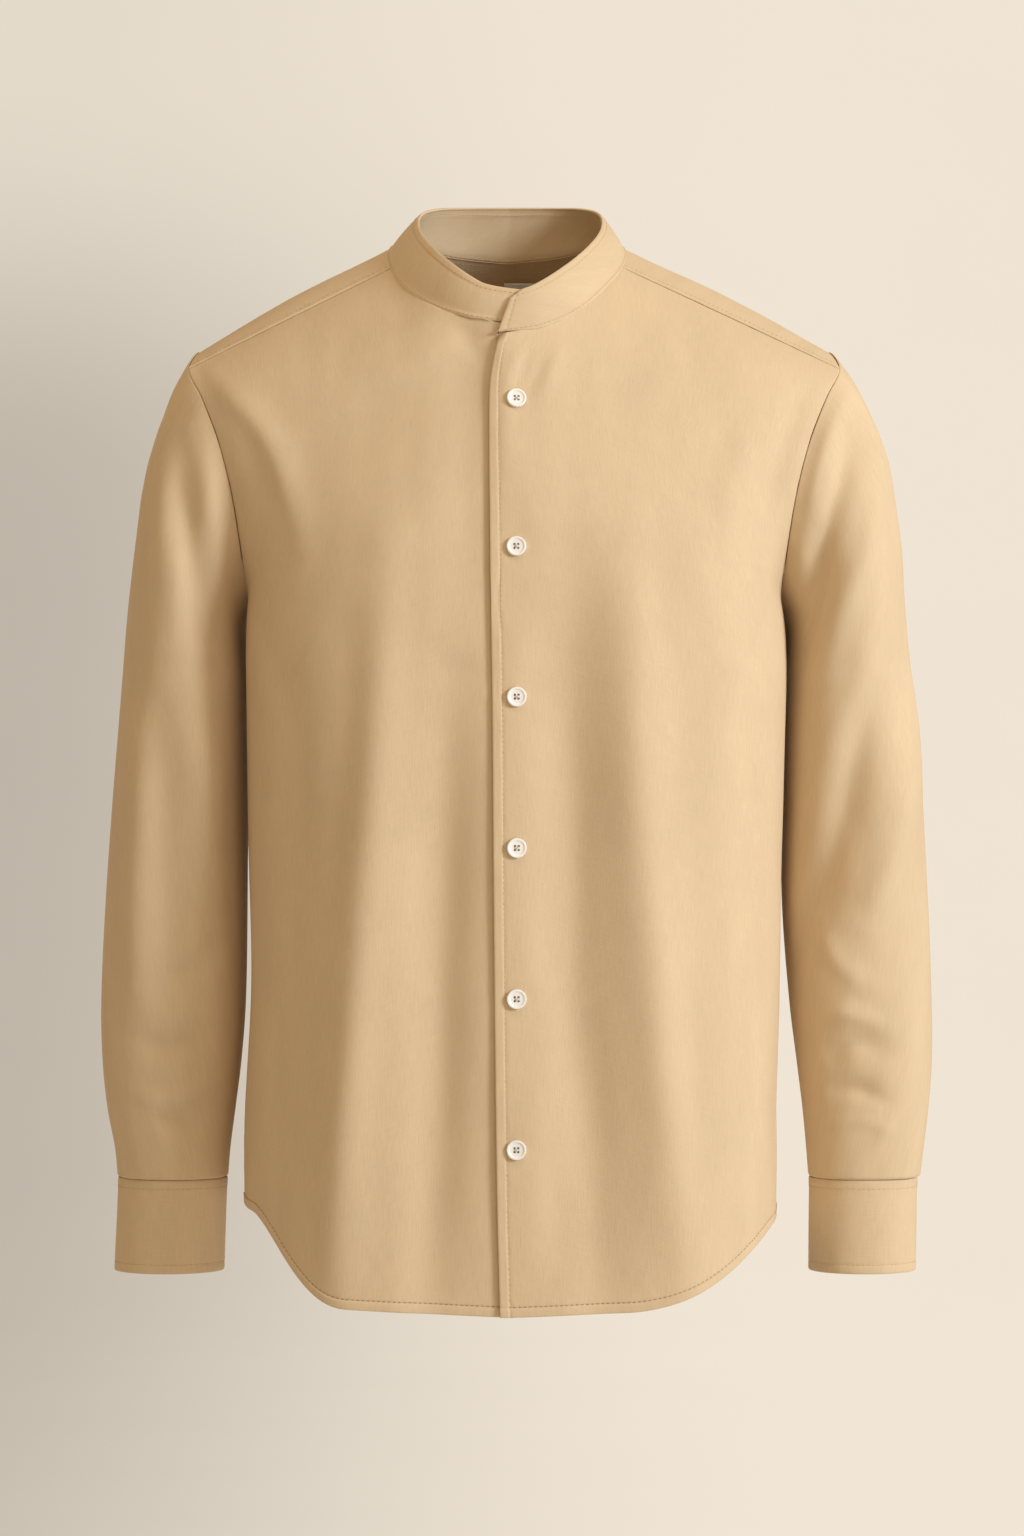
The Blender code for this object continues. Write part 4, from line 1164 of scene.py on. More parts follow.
def button_material():
    """Polished pale plastic with faint clouds."""
    colour = bpy.context.scene.shirt_colours.button
    finish = Finish("Button plastic", Coat_Roughness=0.12, IOR=1.5, Subsurface_Weight=0.08,
                    Subsurface_Scale=0.002)
    cloud = finish.noise(finish.object_place((260, 180, 420)), 3.0, 0.55)
    grain = finish.noise(finish.object_place((1500, 1500, 1500)), 2.0)
    return finish.apply(
        Base_Color=finish.mix(cloud, shade(colour, 0.93), shade(colour, 1.06)),
        Roughness=0.24 + cloud * 0.14,
        Coat_Weight=0.25 + grain * 0.1,
        Normal=finish.bump(grain, 0.00003, 0.3),
    )


def label_material():
    """Woven white tape."""
    colour = bpy.context.scene.shirt_colours.label
    finish = Finish("Label tape", Sheen_Weight=0.2)
    rib = finish.noise(finish.cloth_place(2400, 130), 2.0)
    cross = finish.noise(finish.cloth_place(160, 2200), 2.0)
    return finish.apply(
        Base_Color=finish.mix(rib * 0.6 + cross * 0.4, shade(colour, 0.90), shade(colour, 1.05)),
        Roughness=0.62 + rib * 0.15,
        Normal=finish.bump(rib + cross * 0.6, 0.00014, 0.6),
    )


# ---------------------------------------------------------------- making the panels

RIM = (0, 0.3, 0.7, 1.2, 2.0, 3.4)           # distances from an edge that give it its shape
HEM_ROWS = (0, 0.25, 0.6, 1.2, 2.6, 4.4, 5.6, 6.2, 6.6, 7.0, 7.7, 9.2, 11.5)
PLACKET_EDGE = Edge(0.35, 0.45, ply=0.35, width=6.4, stitches=(7.0,), pucker=0.26)
PLACKET_ROWS = (0, 0.3, 0.7, 1.6, 3.2, 4.8, 5.9, 6.5, 7.0, 7.5, 8.3, 10.0, 12.0)
UNDER_EDGE = Edge(0.3, 0.45)
TOPSTITCH = Edge(0.5, ply=0.35, width=5.2, stitches=(4.4,), pucker=0.22, sewn=True)
TOPSTITCH_ROWS = (0, 0.3, 0.7, 1.2, 2.2, 3.3, 3.9, 4.4, 4.9, 5.6, 7.0)
BAND_EDGE = Edge(0.45, 0.7, stitches=(5.6,), pucker=0.16)
BAND_FOOT = Edge(0.35, 0.5, ply=0.3, width=3.6, stitches=(2.9,), pucker=0.14)
FOOT_REACH = 0.032       # how far the band's foot reaches below the neck seam, as a share of its height
FOOT_STEP = 0.45         # and how far it stands out from the cloth there
BAND_ROWS = (0, 0.3, 0.7, 1.2, 2.4, 3.8, 5.0, 5.6, 6.2, 7.4)
FOOT_ROWS = (0, 0.3, 0.7, 1.2, 2.3, 2.9, 3.5, 4.6, 6.2)
CUFF_EDGE = Edge(0.45, 0.7, stitches=(6.3,), pucker=0.2)
CUFF_SEAM_EDGE = Edge(0.4, 0.5, ply=0.3, width=7.0, stitches=(6.3,), pucker=0.2, sewn=True)
SLEEVE_FOOT = Edge(1.4, 0.9, pucker=0.25, sewn=True)
CUFF_ROWS = (0, 0.3, 0.7, 1.2, 2.6, 4.4, 5.7, 6.3, 6.9, 8.2)


def torso_axis(point):
    return Vector((0.0, 0.0, min(point.z, -110.0) - 40.0))


def lap_step(x, z):
    """How far the under side of the front opening lies inside, near the centre."""
    deeper = 0.4 * ease((z + 150) / 60)
    return (UNDERLAP_STEP + deeper) * ease((x + 62) / 34)


def sum_of(table, point):
    return sum(crease.at(point.x, point.z) for crease in table)


def soften(grid, row, reach, first, times=16):
    """Round off the bend along one row, out from a column."""
    for _ in range(times):
        for c in range(first + 1, len(grid[0])):
            line = [grid[r][c] for r in range(row - reach - 1, row + reach + 2)]
            share = 0.6 * (ease((c - first) / 9) if first else 1.0)
            for k in range(1, len(line) - 1):
                grid[row - reach - 1 + k][c] = line[k].lerp((line[k - 1] + line[k + 1]) / 2, share)


def sew_front(side):
    """A front panel from the yoke seam and the neck down to the hem.

    The part past the centre line has no rows above the neck corner.
    """
    upper = by_length(lambda s: front_point(side, 0.6, s * FRONT_CORNER), RIM, (3.0,), 26)
    lower = by_length(lambda s: front_point(side, 0.6, FRONT_CORNER + (1 - FRONT_CORNER) * s), (0,), HEM_ROWS,
                      150, steps=64)
    lead = PLACKET_ROWS if side > 0 else RIM
    past_centre = front_edge(side, FRONT_CORNER)
    centre = -past_centre / (1 - past_centre)
    below = []
    column = None
    for s in lower:
        v = FRONT_CORNER + (1 - FRONT_CORNER) * s
        places = by_length(lambda t: front_point(side, t, v), lead, RIM, 68, steps=40)
        if column is None:
            column = min(range(len(places)), key=lambda c: abs(places[c] - centre))
            places[column] = centre
        below.append([front_point(side, t, v) for t in places])
    above = []
    for s in upper:
        v = s * FRONT_CORNER
        places = by_length(lambda t: front_point(side, t, v), RIM, RIM, len(below[0]) - column - 11, steps=40)
        line = [front_point(side, t, v) for t in places]
        above.append([line[0]] * column + line)
    grid = above + below
    soften(grid, len(above), 9, column)
    chest = min(range(len(grid)), key=lambda r: abs(grid[r][column].z - CHEST_LEVEL))
    soften(grid, chest, 9, 0)
    panel = Panel(
        "front_left_panel" if side > 0 else "front_right_panel", grid, torso_axis, notch=(len(above), column),
        edges={"top": SEAM, "end": SEAM, "start": PLACKET_EDGE if side > 0 else UNDER_EDGE, "bottom": HEM},
    )
    starts = [side * (line[0].x - CENTRE_LINE) for line in grid]
    panel.start_of_row = lambda r: starts[r]
    seed = 3.0 if side > 0 else 11.0

    def folds(point):
        depth = sum_of(FRONT_CREASES, point) + ripple(point.x, point.z, seed)
        if side > 0:
            depth += front_dimples(point.x, point.z)
        return depth

    if side > 0:
        return panel.sew(folds)
    return panel.sew(folds, base=lambda point: -lap_step(point.x, point.z))


def sew_back():
    def place(t, v):
        return back_point(1 if t >= 0 else -1, abs(t), v)

    levels = by_length(lambda v: place(0.4, v), TOPSTITCH_ROWS, HEM_ROWS, 150, steps=64)
    grid = []
    for v in levels:
        places = by_length(lambda s: place(2 * s - 1, v), RIM, RIM, 120, steps=64)
        grid.append([place(2 * s - 1, v) for s in places])
    chest = min(range(len(grid)), key=lambda r: abs(grid[r][60].z - CHEST_LEVEL))
    soften(grid, chest, 9, 0)
    panel = Panel("back_panel", grid, torso_axis,
                  edges={"top": SEAM, "start": SEAM, "end": SEAM, "bottom": HEM})
    return panel.sew(lambda p: sum_of(BACK_CREASES, p) + ripple(p.x, p.z, 23.0))


def yoke_place(station, t):
    """Point of the yoke: station 0 at the right front seam, 1 at the centre back, 2 at the left front."""
    if station <= 1:
        return yoke_point(-1, station, t)
    return yoke_point(1, 2 - station, t)


def sew_yoke():
    shares = by_length(lambda s: yoke_place(2 * s, 0.8), TOPSTITCH_ROWS, TOPSTITCH_ROWS, 150, steps=120)
    stations = [2 * s for s in shares]
    for corner in (YOKE_ARMHOLE_SHARE, 2 - YOKE_ARMHOLE_SHARE):
        nearest = min(range(len(stations)), key=lambda k: abs(stations[k] - corner))
        stations[nearest] = corner
    levels = by_length(lambda t: yoke_place(0.3, t), RIM, TOPSTITCH_ROWS, 44)
    grid = []
    for t in levels:
        own = by_length(lambda s: yoke_place(2 * s, t), TOPSTITCH_ROWS, TOPSTITCH_ROWS, 150, steps=120)
        row = []
        for place, station in zip(own, stations):
            near = ease((0.40 - min(station, 2 - station)) / 0.34)
            row.append(yoke_place(2 * place * near + station * (1 - near), t))
        grid.append(row)
    panel = Panel("yoke_panel", grid, torso_axis,
                  edges={"top": NECK_JOIN, "start": TOPSTITCH, "end": TOPSTITCH, "bottom": SEAM})
    panel.stations = stations
    return panel.sew(lambda p: 0.35 * ripple(p.x, p.y * 2, 31.0))


def sleeve_axis(side):
    return lambda point: Vector((side * 240.0, 5.0, point.z))


SLEEVE_TUCK = 7.0        # how far the sleeve's inner side bulges behind the body, below the armpit


def sleeve_tuck(point):
    """Bulge of the sleeve's inner side towards the back of the body."""
    if point.y < 0 or abs(point.x) > 226:
        return 0.0
    across = math.exp(-(((point.y - 38) / 17) ** 2)) * ease((226 - abs(point.x)) / 16)
    return SLEEVE_TUCK * across * ease((-250 - point.z) / 22) * ease((point.z + 440) / 80)


SLEEVE_PRESS = 0.072     # share round the right sleeve where it is pressed to a line
SLEEVE_LINE_ROUND = 275.0


def sew_sleeve(side):
    levels = by_length(lambda v: sleeve_point(side, 0.1, v), RIM, RIM, 150, steps=72)
    round_it = spread(0, 1, 112)[:-1]
    fine = [s + off / SLEEVE_LINE_ROUND for s in (SLEEVE_PRESS, 0.5) for off in (-1.2, -0.6, 0.0, 0.6, 1.2)]
    shares = [s for s in round_it if min(abs(s - f) for f in fine) > 0.003] + fine
    shares.sort()
    grid = [[sleeve_point(side, share, v) for share in shares] for v in levels]
    low = grid[-1][0].z
    panel = Panel("sleeve_left_panel" if side > 0 else "sleeve_right_panel", grid, sleeve_axis(side),
                  wrap=True, edges={"top": SEAM, "bottom": SLEEVE_FOOT})
    share_of = {point.to_tuple(4): share for line in grid for point, share in zip(line, shares)}

    def folds(point):
        share = share_of[point.to_tuple(4)]
        front = point.y < 5
        table = (SLEEVE_FRONT_CREASES if front else SLEEVE_BACK_CREASES)[side]
        clear = ease((abs(point.x) - 190) / 14) * ease((point.z - low) / 40)
        facing = ease((abs(point.y - 5) - 6) / 26)
        depth = sum_of(table, point) * clear * facing
        depth += ripple(point.x, point.z, 41.0 if front else 47.0, 0.7, 0.6) * facing * clear
        depth -= 0.45 * math.exp(-(((share - 0.5) * SLEEVE_LINE_ROUND / 0.9) ** 2))
        if side < 0:
            pressed = ease((-260 - point.z) / 60)
            depth -= 0.5 * pressed * math.exp(-(((share - SLEEVE_PRESS) * SLEEVE_LINE_ROUND / 0.8) ** 2))
        return depth

    return panel.sew(folds, base=sleeve_tuck)


def sew_cuff(side):
    table = CUFF_LEFT if side > 0 else CUFF_RIGHT
    levels = by_length(lambda v: cuff_point(table, side, 0.2, v), CUFF_ROWS, CUFF_ROWS, 16)
    grid = []
    for v in levels:
        places = by_length(lambda s: cuff_point(table, side, s, v), CUFF_ROWS, RIM, 90, steps=90)
        grid.append([cuff_point(table, side, s, v) for s in places])
    panel = Panel("cuff_left_band" if side > 0 else "cuff_right_band", grid, sleeve_axis(side),
                  edges={"top": CUFF_SEAM_EDGE, "bottom": CUFF_EDGE, "start": CUFF_EDGE, "end": UNDER_EDGE})
    return panel.sew(lambda p: 0.25 * ripple(p.x, p.z, 53.0, 1.0, 0.4))


def collar_place(s, h):
    """Point of the collar band with the rounded corner of its top end."""
    u = 2 * s - 1
    corner = ease((u - 0.955) / 0.045)
    free = 1 - ease((u - 0.93) / 0.06)
    point = collar_point(u, h * (1 - 0.16 * corner * corner) if h > 0 else h * free)
    outward = Vector((point.x - NECK_CENTRE, point.y, 0)).normalized()
    return point + outward * FOOT_STEP * free * ease((0.14 - h) / 0.12)


def sew_collar():
    levels = by_length(lambda h: collar_place(0.5, 1 - (1 + FOOT_REACH) * h), BAND_ROWS, FOOT_ROWS, 14)
    grid = []
    for level in levels:
        h = 1 - (1 + FOOT_REACH) * level
        places = by_length(lambda s: collar_place(s, h), BAND_ROWS, BAND_ROWS, 190, steps=120)
        grid.append([collar_place(s, h) for s in places])
    panel = Panel("collar_band", grid, lambda p: Vector((NECK_CENTRE, -5.0, p.z)),
                  edges={"top": BAND_EDGE, "bottom": BAND_FOOT, "start": UNDER_EDGE, "end": BAND_EDGE})
    return panel.sew(lambda p: 0.3 * ripple(p.x, p.z * 3, 61.0))


def collar_point(u, h):
    """Point of the band: u from the under end (-1) by the centre back (0) to the top end (1)."""
    side = 1 if u >= 0 else -1
    along = 1 - abs(u)
    base = NECK[side].at(along)
    top = COLLAR_EDGE[side].at(along)
    point = base.lerp(top, h)
    outward = Vector((point.x, point.y, 0.0)).normalized()
    point += outward * 1.6 * math.sin(math.pi * h)
    if u > 0.9:
        reach = COLLAR_TOP_END[0] + (COLLAR_TOP_END[1] - COLLAR_TOP_END[0]) * h - NECK[1].at(0).lerp(
            COLLAR_EDGE[1].at(0), h).x
        point.x += reach * ease((u - 0.9) / 0.1)
    if side < 0:
        reach = COLLAR_UNDER_END - NECK_CENTRE
        share = ease((abs(u) - 0.9) / 0.1)
        point.x += reach * share
        point += Vector((0, 1, 0)) * (BAND_CLOTH + 1.0) * ease((abs(u) - 0.62) / 0.3)
    return point


def cuff_point(table, side, share, v):
    """Point of a cuff band, whose under end steps inwards below the top end."""
    z = CUFF_SEAM + (CUFF_BOTTOM - CUFF_SEAM) * v
    low, high = table
    near, far, front, back = (a + (b - a) * v for a, b in zip(low[1:], high[1:]))
    turn = CUFF_OPENING - share * (1 + CUFF_OVERLAP)
    step = (BAND_CLOTH + 0.7) * ease((share * (1 + CUFF_OVERLAP) - 0.93) / 0.06)
    angle = 2 * math.pi * turn
    x = (near + far) / 2 + ((far - near) / 2 - step) * math.cos(angle)
    y = (front + back) / 2 - ((back - front) / 2 - step) * math.sin(angle)
    return Vector((side * x, y, z))


CUFF_OPENING = 0.84      # where the cuff's top end lies, as a share round it
CUFF_OVERLAP = 0.075
COLLAR_UNDER_END = 9.0   # x where the under end of the band stops
COLLAR_TOP_END = (-11.0, -0.7)   # x of the top end, at the neck seam and at the top edge


# ---------------------------------------------------------------- hard pieces, shaped as by hand

def select_only(item):
    bpy.ops.object.select_all(action="DESELECT")
    item.select_set(True)
    bpy.context.view_layer.objects.active = item


def pick_faces(item, test):
    """Select in edit mode the faces whose middle and normal pass a test; returns to edit mode."""
    bpy.ops.object.mode_set(mode="EDIT")
    bpy.ops.mesh.select_mode(type="FACE")
    bpy.ops.mesh.select_all(action="DESELECT")
    bpy.ops.object.mode_set(mode="OBJECT")
    for face in item.data.polygons:
        face.select = test(face.center, face.normal)
    bpy.ops.object.mode_set(mode="EDIT")


def model_button():
    """Round four-hole button lying on z = 0 at the origin, with a raised rim and a shallow dish."""
    radius, height = BUTTON_RADIUS * MM, BUTTON_THICK * MM
    bpy.ops.object.select_all(action="DESELECT")
    bpy.ops.mesh.primitive_cylinder_add(vertices=64, radius=radius, depth=height, location=(0, 0, height / 2))
    button = bpy.context.active_object
    select_only(button)
    bpy.ops.object.transform_apply(location=True, rotation=True, scale=True)
    top = height - 1e-6
    pick_faces(button, lambda middle, normal: normal.z > 0.9)
    bpy.ops.mesh.inset(thickness=0.0013, depth=0)
    pick_faces(button, lambda middle, normal: normal.z > 0.9 and middle.xy.length < 1e-5 and middle.z > top)
    bpy.ops.mesh.inset(thickness=0.0006, depth=-0.00055)
    pick_faces(button, lambda middle, normal: normal.z > 0.9 and middle.xy.length < 1e-5)
    bpy.ops.mesh.inset(thickness=0.0008, depth=-0.00012)
    pick_faces(button, lambda middle, normal: normal.z < -0.9)
    bpy.ops.mesh.inset(thickness=0.0016, depth=0)
    bpy.ops.object.mode_set(mode="OBJECT")
    rim = button.modifiers.new("Rounded rim", "BEVEL")
    rim.width = 0.00042
    rim.segments = 4
    rim.limit_method = "ANGLE"
    rim.angle_limit = math.radians(30)
    bpy.ops.object.modifier_apply(modifier=rim.name)
    for x in (-HOLE_SPREAD, HOLE_SPREAD):
        for y in (-HOLE_SPREAD, HOLE_SPREAD):
            bpy.ops.object.select_all(action="DESELECT")
            bpy.ops.mesh.primitive_cylinder_add(vertices=20, radius=HOLE_RADIUS, depth=0.012,
                                                location=(x, y, 0))
            drill = bpy.context.active_object
            select_only(button)
            cut = button.modifiers.new("Hole", "BOOLEAN")
            cut.object = drill
            cut.operation = "DIFFERENCE"
            cut.solver = "EXACT"
            bpy.ops.object.modifier_apply(modifier=cut.name)
            bpy.data.objects.remove(drill, do_unlink=True)
    select_only(button)
    bpy.ops.object.shade_smooth_by_angle(angle=math.radians(35))
    return button


HOLE_SPREAD = 0.00125
HOLE_RADIUS = 0.00085
BUTTON_LIFT = 0.00035    # space between the cloth and the button's back


def thread_cross(name):
    """Thread through the four holes: two bars crossing each other over the dish."""
    floor = (BUTTON_THICK - 0.55) * MM
    strands = []
    for turn, rise in ((1, 0.00030), (-1, 0.00052)):
        for shift in (-0.00013, 0.00013):
            curve = bpy.data.curves.new(name, "CURVE")
            curve.dimensions = "3D"
            curve.bevel_depth = 0.00010
            curve.bevel_resolution = 2
            curve.resolution_u = 4
            line = curve.splines.new("POLY")
            places = (-1.0, -0.95, -0.72, 0.0, 0.72, 0.95, 1.0)
            heights = (-0.0016, 0.0, rise, rise, rise, 0.0, -0.0016)
            line.points.add(len(places) - 1)
            for point, place, high in zip(line.points, places, heights):
                x = place * HOLE_SPREAD + shift
                y = place * turn * HOLE_SPREAD - shift * turn
                point.co = (x, y, floor + high, 1.0)
            strands.append(bpy.data.objects.new(name, curve))
            bpy.context.scene.collection.objects.link(strands[-1])
    bpy.ops.object.select_all(action="DESELECT")
    for strand in strands:
        strand.select_set(True)
    bpy.context.view_layer.objects.active = strands[0]
    bpy.ops.object.convert(target="MESH")
    bpy.ops.object.join()
    cross = bpy.context.active_object
    cross.data.shade_smooth()
    return cross


def placed_copy(source, name, place, material):
    """A copy with its own mesh, moved to its place in the mesh itself."""
    mesh = source.data.copy()
    mesh.name = name
    mesh.transform(place)
    mesh.materials.clear()
    mesh.materials.append(material)
    item = bpy.data.objects.new(name, mesh)
    bpy.context.scene.collection.objects.link(item)
    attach(item, "root")
    return item


def seat_on(panel, x, z, front=True):
    """Point and outward normal of a panel at a place seen from the front or from behind."""
    grid = panel.grid
    best = None
    for r in range(len(grid) - 1):
        for c in range(len(grid[0]) - 1):
            point = grid[r][c]
            if front != (point.y < 5):
                continue
            off = (point.x - x) ** 2 + (point.z - z) ** 2
            if best is None or off < best[0]:
                best = (off, r, c)
    _, r, c = best
    a, b, d = grid[r][c], grid[r][c + 1], grid[r + 1][c]
    low, high = max(r - 3, 0), min(r + 3, len(grid) - 1)
    left, right = max(c - 3, 0), min(c + 3, len(grid[0]) - 1)
    normal = (grid[r][right] - grid[r][left]).cross(grid[high][c] - grid[low][c]).normalized()
    if normal.dot(panel.normals[r][c]) < 0:
        normal = -normal
    share = (x - a.x) / (b.x - a.x) if abs(b.x - a.x) > 1e-9 else 0.0
    fall = (z - a.z) / (d.z - a.z) if abs(d.z - a.z) > 1e-9 else 0.0
    return a + (b - a) * share + (d - a) * fall, normal


def button_place(seat, normal):
    across = Vector((1, 0, 0)) - normal * normal.x
    across.normalize()
    up = normal.cross(across)
    turn = Matrix((across, up, normal)).transposed().to_4x4()
    return Matrix.Translation(seat * MM + normal * BUTTON_LIFT) @ turn


HOLE_LENGTH = 15.0       # length of a buttonhole
HOLE_WIDTH = 1.5         # distance between the middles of its two rows of stitches
HOLE_STEP = 0.42         # from one of its stitches to the next


def add_buttonhole(points, faces, slit, seat, normal, across, along):
    """Two rows of close stitches with a bar at each end, and a dark sheet between them with painted shade
    where the slit is.
    """
    count = int(HOLE_LENGTH / HOLE_STEP)
    for k in range(count + 1):
        place = -HOLE_LENGTH / 2 + k * HOLE_STEP
        for side in (-1, 1):
            middle = seat + along * place + across * (side * HOLE_WIDTH / 2) + normal * 0.06
            add_stitch(points, faces, middle, across, normal, 1.15, 0.34, 0.06 * side)
    for end in (-1, 1):
        for k in range(3):
            middle = seat + along * (end * (HOLE_LENGTH / 2 + 0.25 + 0.3 * k)) + normal * 0.12
            add_stitch(points, faces, middle, across, normal, HOLE_WIDTH + 1.1, 0.36)
    # a sheet just over the cloth, painted dark as the shade inside the slit
    base = len(slit[0])
    for x, z in ((-0.28, -1), (0.28, -1), (0.28, 1), (-0.28, 1)):
        slit[0].append(seat + across * x + along * (z * (HOLE_LENGTH / 2 - 0.4)) + normal * 0.05)
    slit[1].append((base, base + 1, base + 2, base + 3))


# ---------------------------------------------------------------- operators

class SHIRT_OT_fronts(bpy.types.Operator):
    """Sew both fronts, the top one with its folded front edge"""

    bl_idname = "shirt.fronts"
    bl_label = "Sew the fronts"

    def execute(self, context):
        sizes = context.scene.shirt_sizes
        for side, node in ((-1, "front_right"), (1, "front_left")):
            panel = sew_front(side)
            hem = len(panel.grid) - 1 - HEM_ROWS.index(6.6)
            lines = [panel.row(hem, 0 if side < 0 else 5)]
            if side > 0:
                lines.append(panel.column(PLACKET_ROWS.index(7.0), panel.notch[0] + 1, -8))
            # the hem stitches take the darker thread, whose colour carries painted shade of the stitch holes
            pieces = [stitch_lines(node + "_hem_stitches", lines[:1], material=thread_material("Hem thread with painted shade"))]
            if lines[1:]:
                pieces.append(stitch_lines(node + "_edge_stitches", lines[1:]))
            panel.build(sizes.cloth, cotton_material(), node, with_pieces=pieces)
        return {"FINISHED"}


class SHIRT_OT_back(bpy.types.Operator):
    """Sew the back, from the yoke seam to the hem"""

    bl_idname = "shirt.back"
    bl_label = "Sew the back"

    def execute(self, context):
        panel = sew_back()
        lines = [panel.row(panel.nearest_row(6.6, "bottom"))]
        # the hem stitches take the darker thread, whose colour carries painted shade of the stitch holes
        stitches = stitch_lines("back_hem_stitches", lines, material=thread_material("Hem thread with painted shade"))
        panel.build(context.scene.shirt_sizes.cloth, cotton_material(), "back", with_pieces=[stitches])
        return {"FINISHED"}


class SHIRT_OT_yoke(bpy.types.Operator):
    """Sew the yoke over both shoulders, topstitched on the fronts and the back"""

    bl_idname = "shirt.yoke"
    bl_label = "Sew the yoke"

    def execute(self, context):
        cloth = context.scene.shirt_sizes.cloth
        panel = sew_yoke()
        first = TOPSTITCH_ROWS.index(4.4)
        last = len(panel.grid[0]) - 1 - first
        left = panel.stations.index(YOKE_ARMHOLE_SHARE)
        right = panel.stations.index(2 - YOKE_ARMHOLE_SHARE)
        below = len(panel.grid) - 1 - first
        lines = [panel.column(first, 3, -3), panel.column(last, 3, -3), panel.row(below, left, right + 1)]
        stitches = stitch_lines("yoke_stitches", lines)
        inside = []
        middle = len(panel.grid[0]) // 2
        for off in NECK_TAPE_LINES:
            row = panel.nearest_row(off, "top", middle)
            inside.append(inner_side(panel.row(row, left + 4, right - 4), cloth / MM))
        neck = stitch_lines("neck_tape_stitches", inside)
        panel.build(cloth, cotton_material(), "yoke", with_pieces=[stitches, neck])
        return {"FINISHED"}


NECK_TAPE_LINES = (4.2, 8.6)     # rows of stitches inside the back neck, below the collar


class SHIRT_OT_sleeves(bpy.types.Operator):
    """Sew both sleeves, from the armhole to the cuff"""

    bl_idname = "shirt.sleeves"
    bl_label = "Sew the sleeves"

    def execute(self, context):
        for side, node in ((1, "sleeve_left"), (-1, "sleeve_right")):
            sew_sleeve(side).build(context.scene.shirt_sizes.cloth, cotton_material(), node)
        return {"FINISHED"}


class SHIRT_OT_cuffs(bpy.types.Operator):
    """Sew the buttoned cuffs"""

    bl_idname = "shirt.cuffs"
    bl_label = "Sew the cuffs"

    def execute(self, context):
        for side, node in ((1, "cuff_left"), (-1, "cuff_right")):
            panel = sew_cuff(side)
            row = CUFF_ROWS.index(6.3)
            lines = [panel.row(row, 8, -1), panel.row(len(panel.grid) - 1 - row, 8, -1),
                     panel.column(CUFF_ROWS.index(6.3), row, len(panel.grid) - row)]
            stitches = stitch_lines(node + "_stitches", lines)
            panel.build(context.scene.shirt_sizes.band, cotton_material(), node, with_pieces=[stitches])
        return {"FINISHED"}


class SHIRT_OT_collar(bpy.types.Operator):
    """Sew the stand-up collar band round the neck"""

    bl_idname = "shirt.collar"
    bl_label = "Sew the collar"

    def execute(self, context):
        band = context.scene.shirt_sizes.band
        panel = sew_collar()
        top = BAND_ROWS.index(5.6)
        foot = len(panel.grid) - 1 - FOOT_ROWS.index(2.9)
        end = len(panel.grid[0]) - 1 - BAND_ROWS.index(5.6)
        lines = [panel.row(top, 3, end + 1), panel.row(foot, 3, -3), panel.column(end, top, foot + 1)]
        lines.append(inner_side(panel.row(top, 3, end + 1), band / MM))
        lines.append(inner_side(panel.row(foot, 3, -3), band / MM))
        stitches = stitch_lines("collar_stitches", lines)
        panel.build(band, cotton_material(), "collar", with_pieces=[stitches])
        return {"FINISHED"}


class SHIRT_OT_label(bpy.types.Operator):
    """Sew the plain label inside the back neck"""

    bl_idname = "shirt.label"
    bl_label = "Sew the label"

    def execute(self, context):
        low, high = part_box("label")
        low, high = Vector(low) / MM, Vector(high) / MM
        grid = []
        for v in spread(0, 1, 26):
            z = high.z + (low.z - high.z) * v
            y = low.y + 0.9 + (high.y - low.y - 1.8) * (v ** 0.9)
            grid.append([Vector((low.x + (high.x - low.x) * t, y - 0.7 * math.sin(math.pi * t), z))
                         for t in spread(0, 1, 22)])
        panel = Panel("label_tape", grid, lambda p: Vector((p.x, p.y + 40, p.z)))
        item = panel.build(0.0005, label_material(), "label")
        return {"FINISHED"}


class SHIRT_OT_buttons(bpy.types.Operator):
    """Model one button and its thread, and sew copies on the front and the cuffs, with buttonholes"""

    bl_idname = "shirt.buttons"
    bl_label = "Sew on the buttons"

    def execute(self, context):
        front = need("front_left_panel")
        seats = []
        for k in range(BUTTON_COUNT):
            seats.append(("button_%d" % (k + 1), *seat_on(front, BUTTON_LINE, BUTTON_TOP - k * BUTTON_PITCH)))
        for name in ("cuff_left", "cuff_right"):
            panel = need(name + "_band")
            node = name.replace("cuff", "cuff_button")
            low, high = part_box(node)
            middle = (Vector(low) + Vector(high)) / 2 / MM
            seats.append((node, *seat_on(panel, middle.x, middle.z, front=False)))
        button = model_button()
        cross = thread_cross("button_thread")
        plastic, thread = button_material(), thread_material()
        holes, painted_shade_slits = ([], []), ([], [])
        for name, seat, normal in seats:
            place = button_place(seat, normal)
            item = placed_copy(button, name + "_four_hole", place, plastic)
            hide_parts(name)
            placed_copy(cross, name + "_thread", place, thread_material("Button thread"))
            across, up = place.col[0].xyz, place.col[1].xyz
            if name.startswith("cuff"):
                across, up = up, across
            add_buttonhole(*holes, painted_shade_slits, seat, normal, across, up)
        sewn_piece("buttonhole_stitches", *holes, thread)
        # sheets with painted shade inside the buttonholes
        sewn_piece("buttonhole_slits", *painted_shade_slits, painted_shade_slit_material())
        for item in (button, cross):
            bpy.data.objects.remove(item, do_unlink=True)
        return {"FINISHED"}


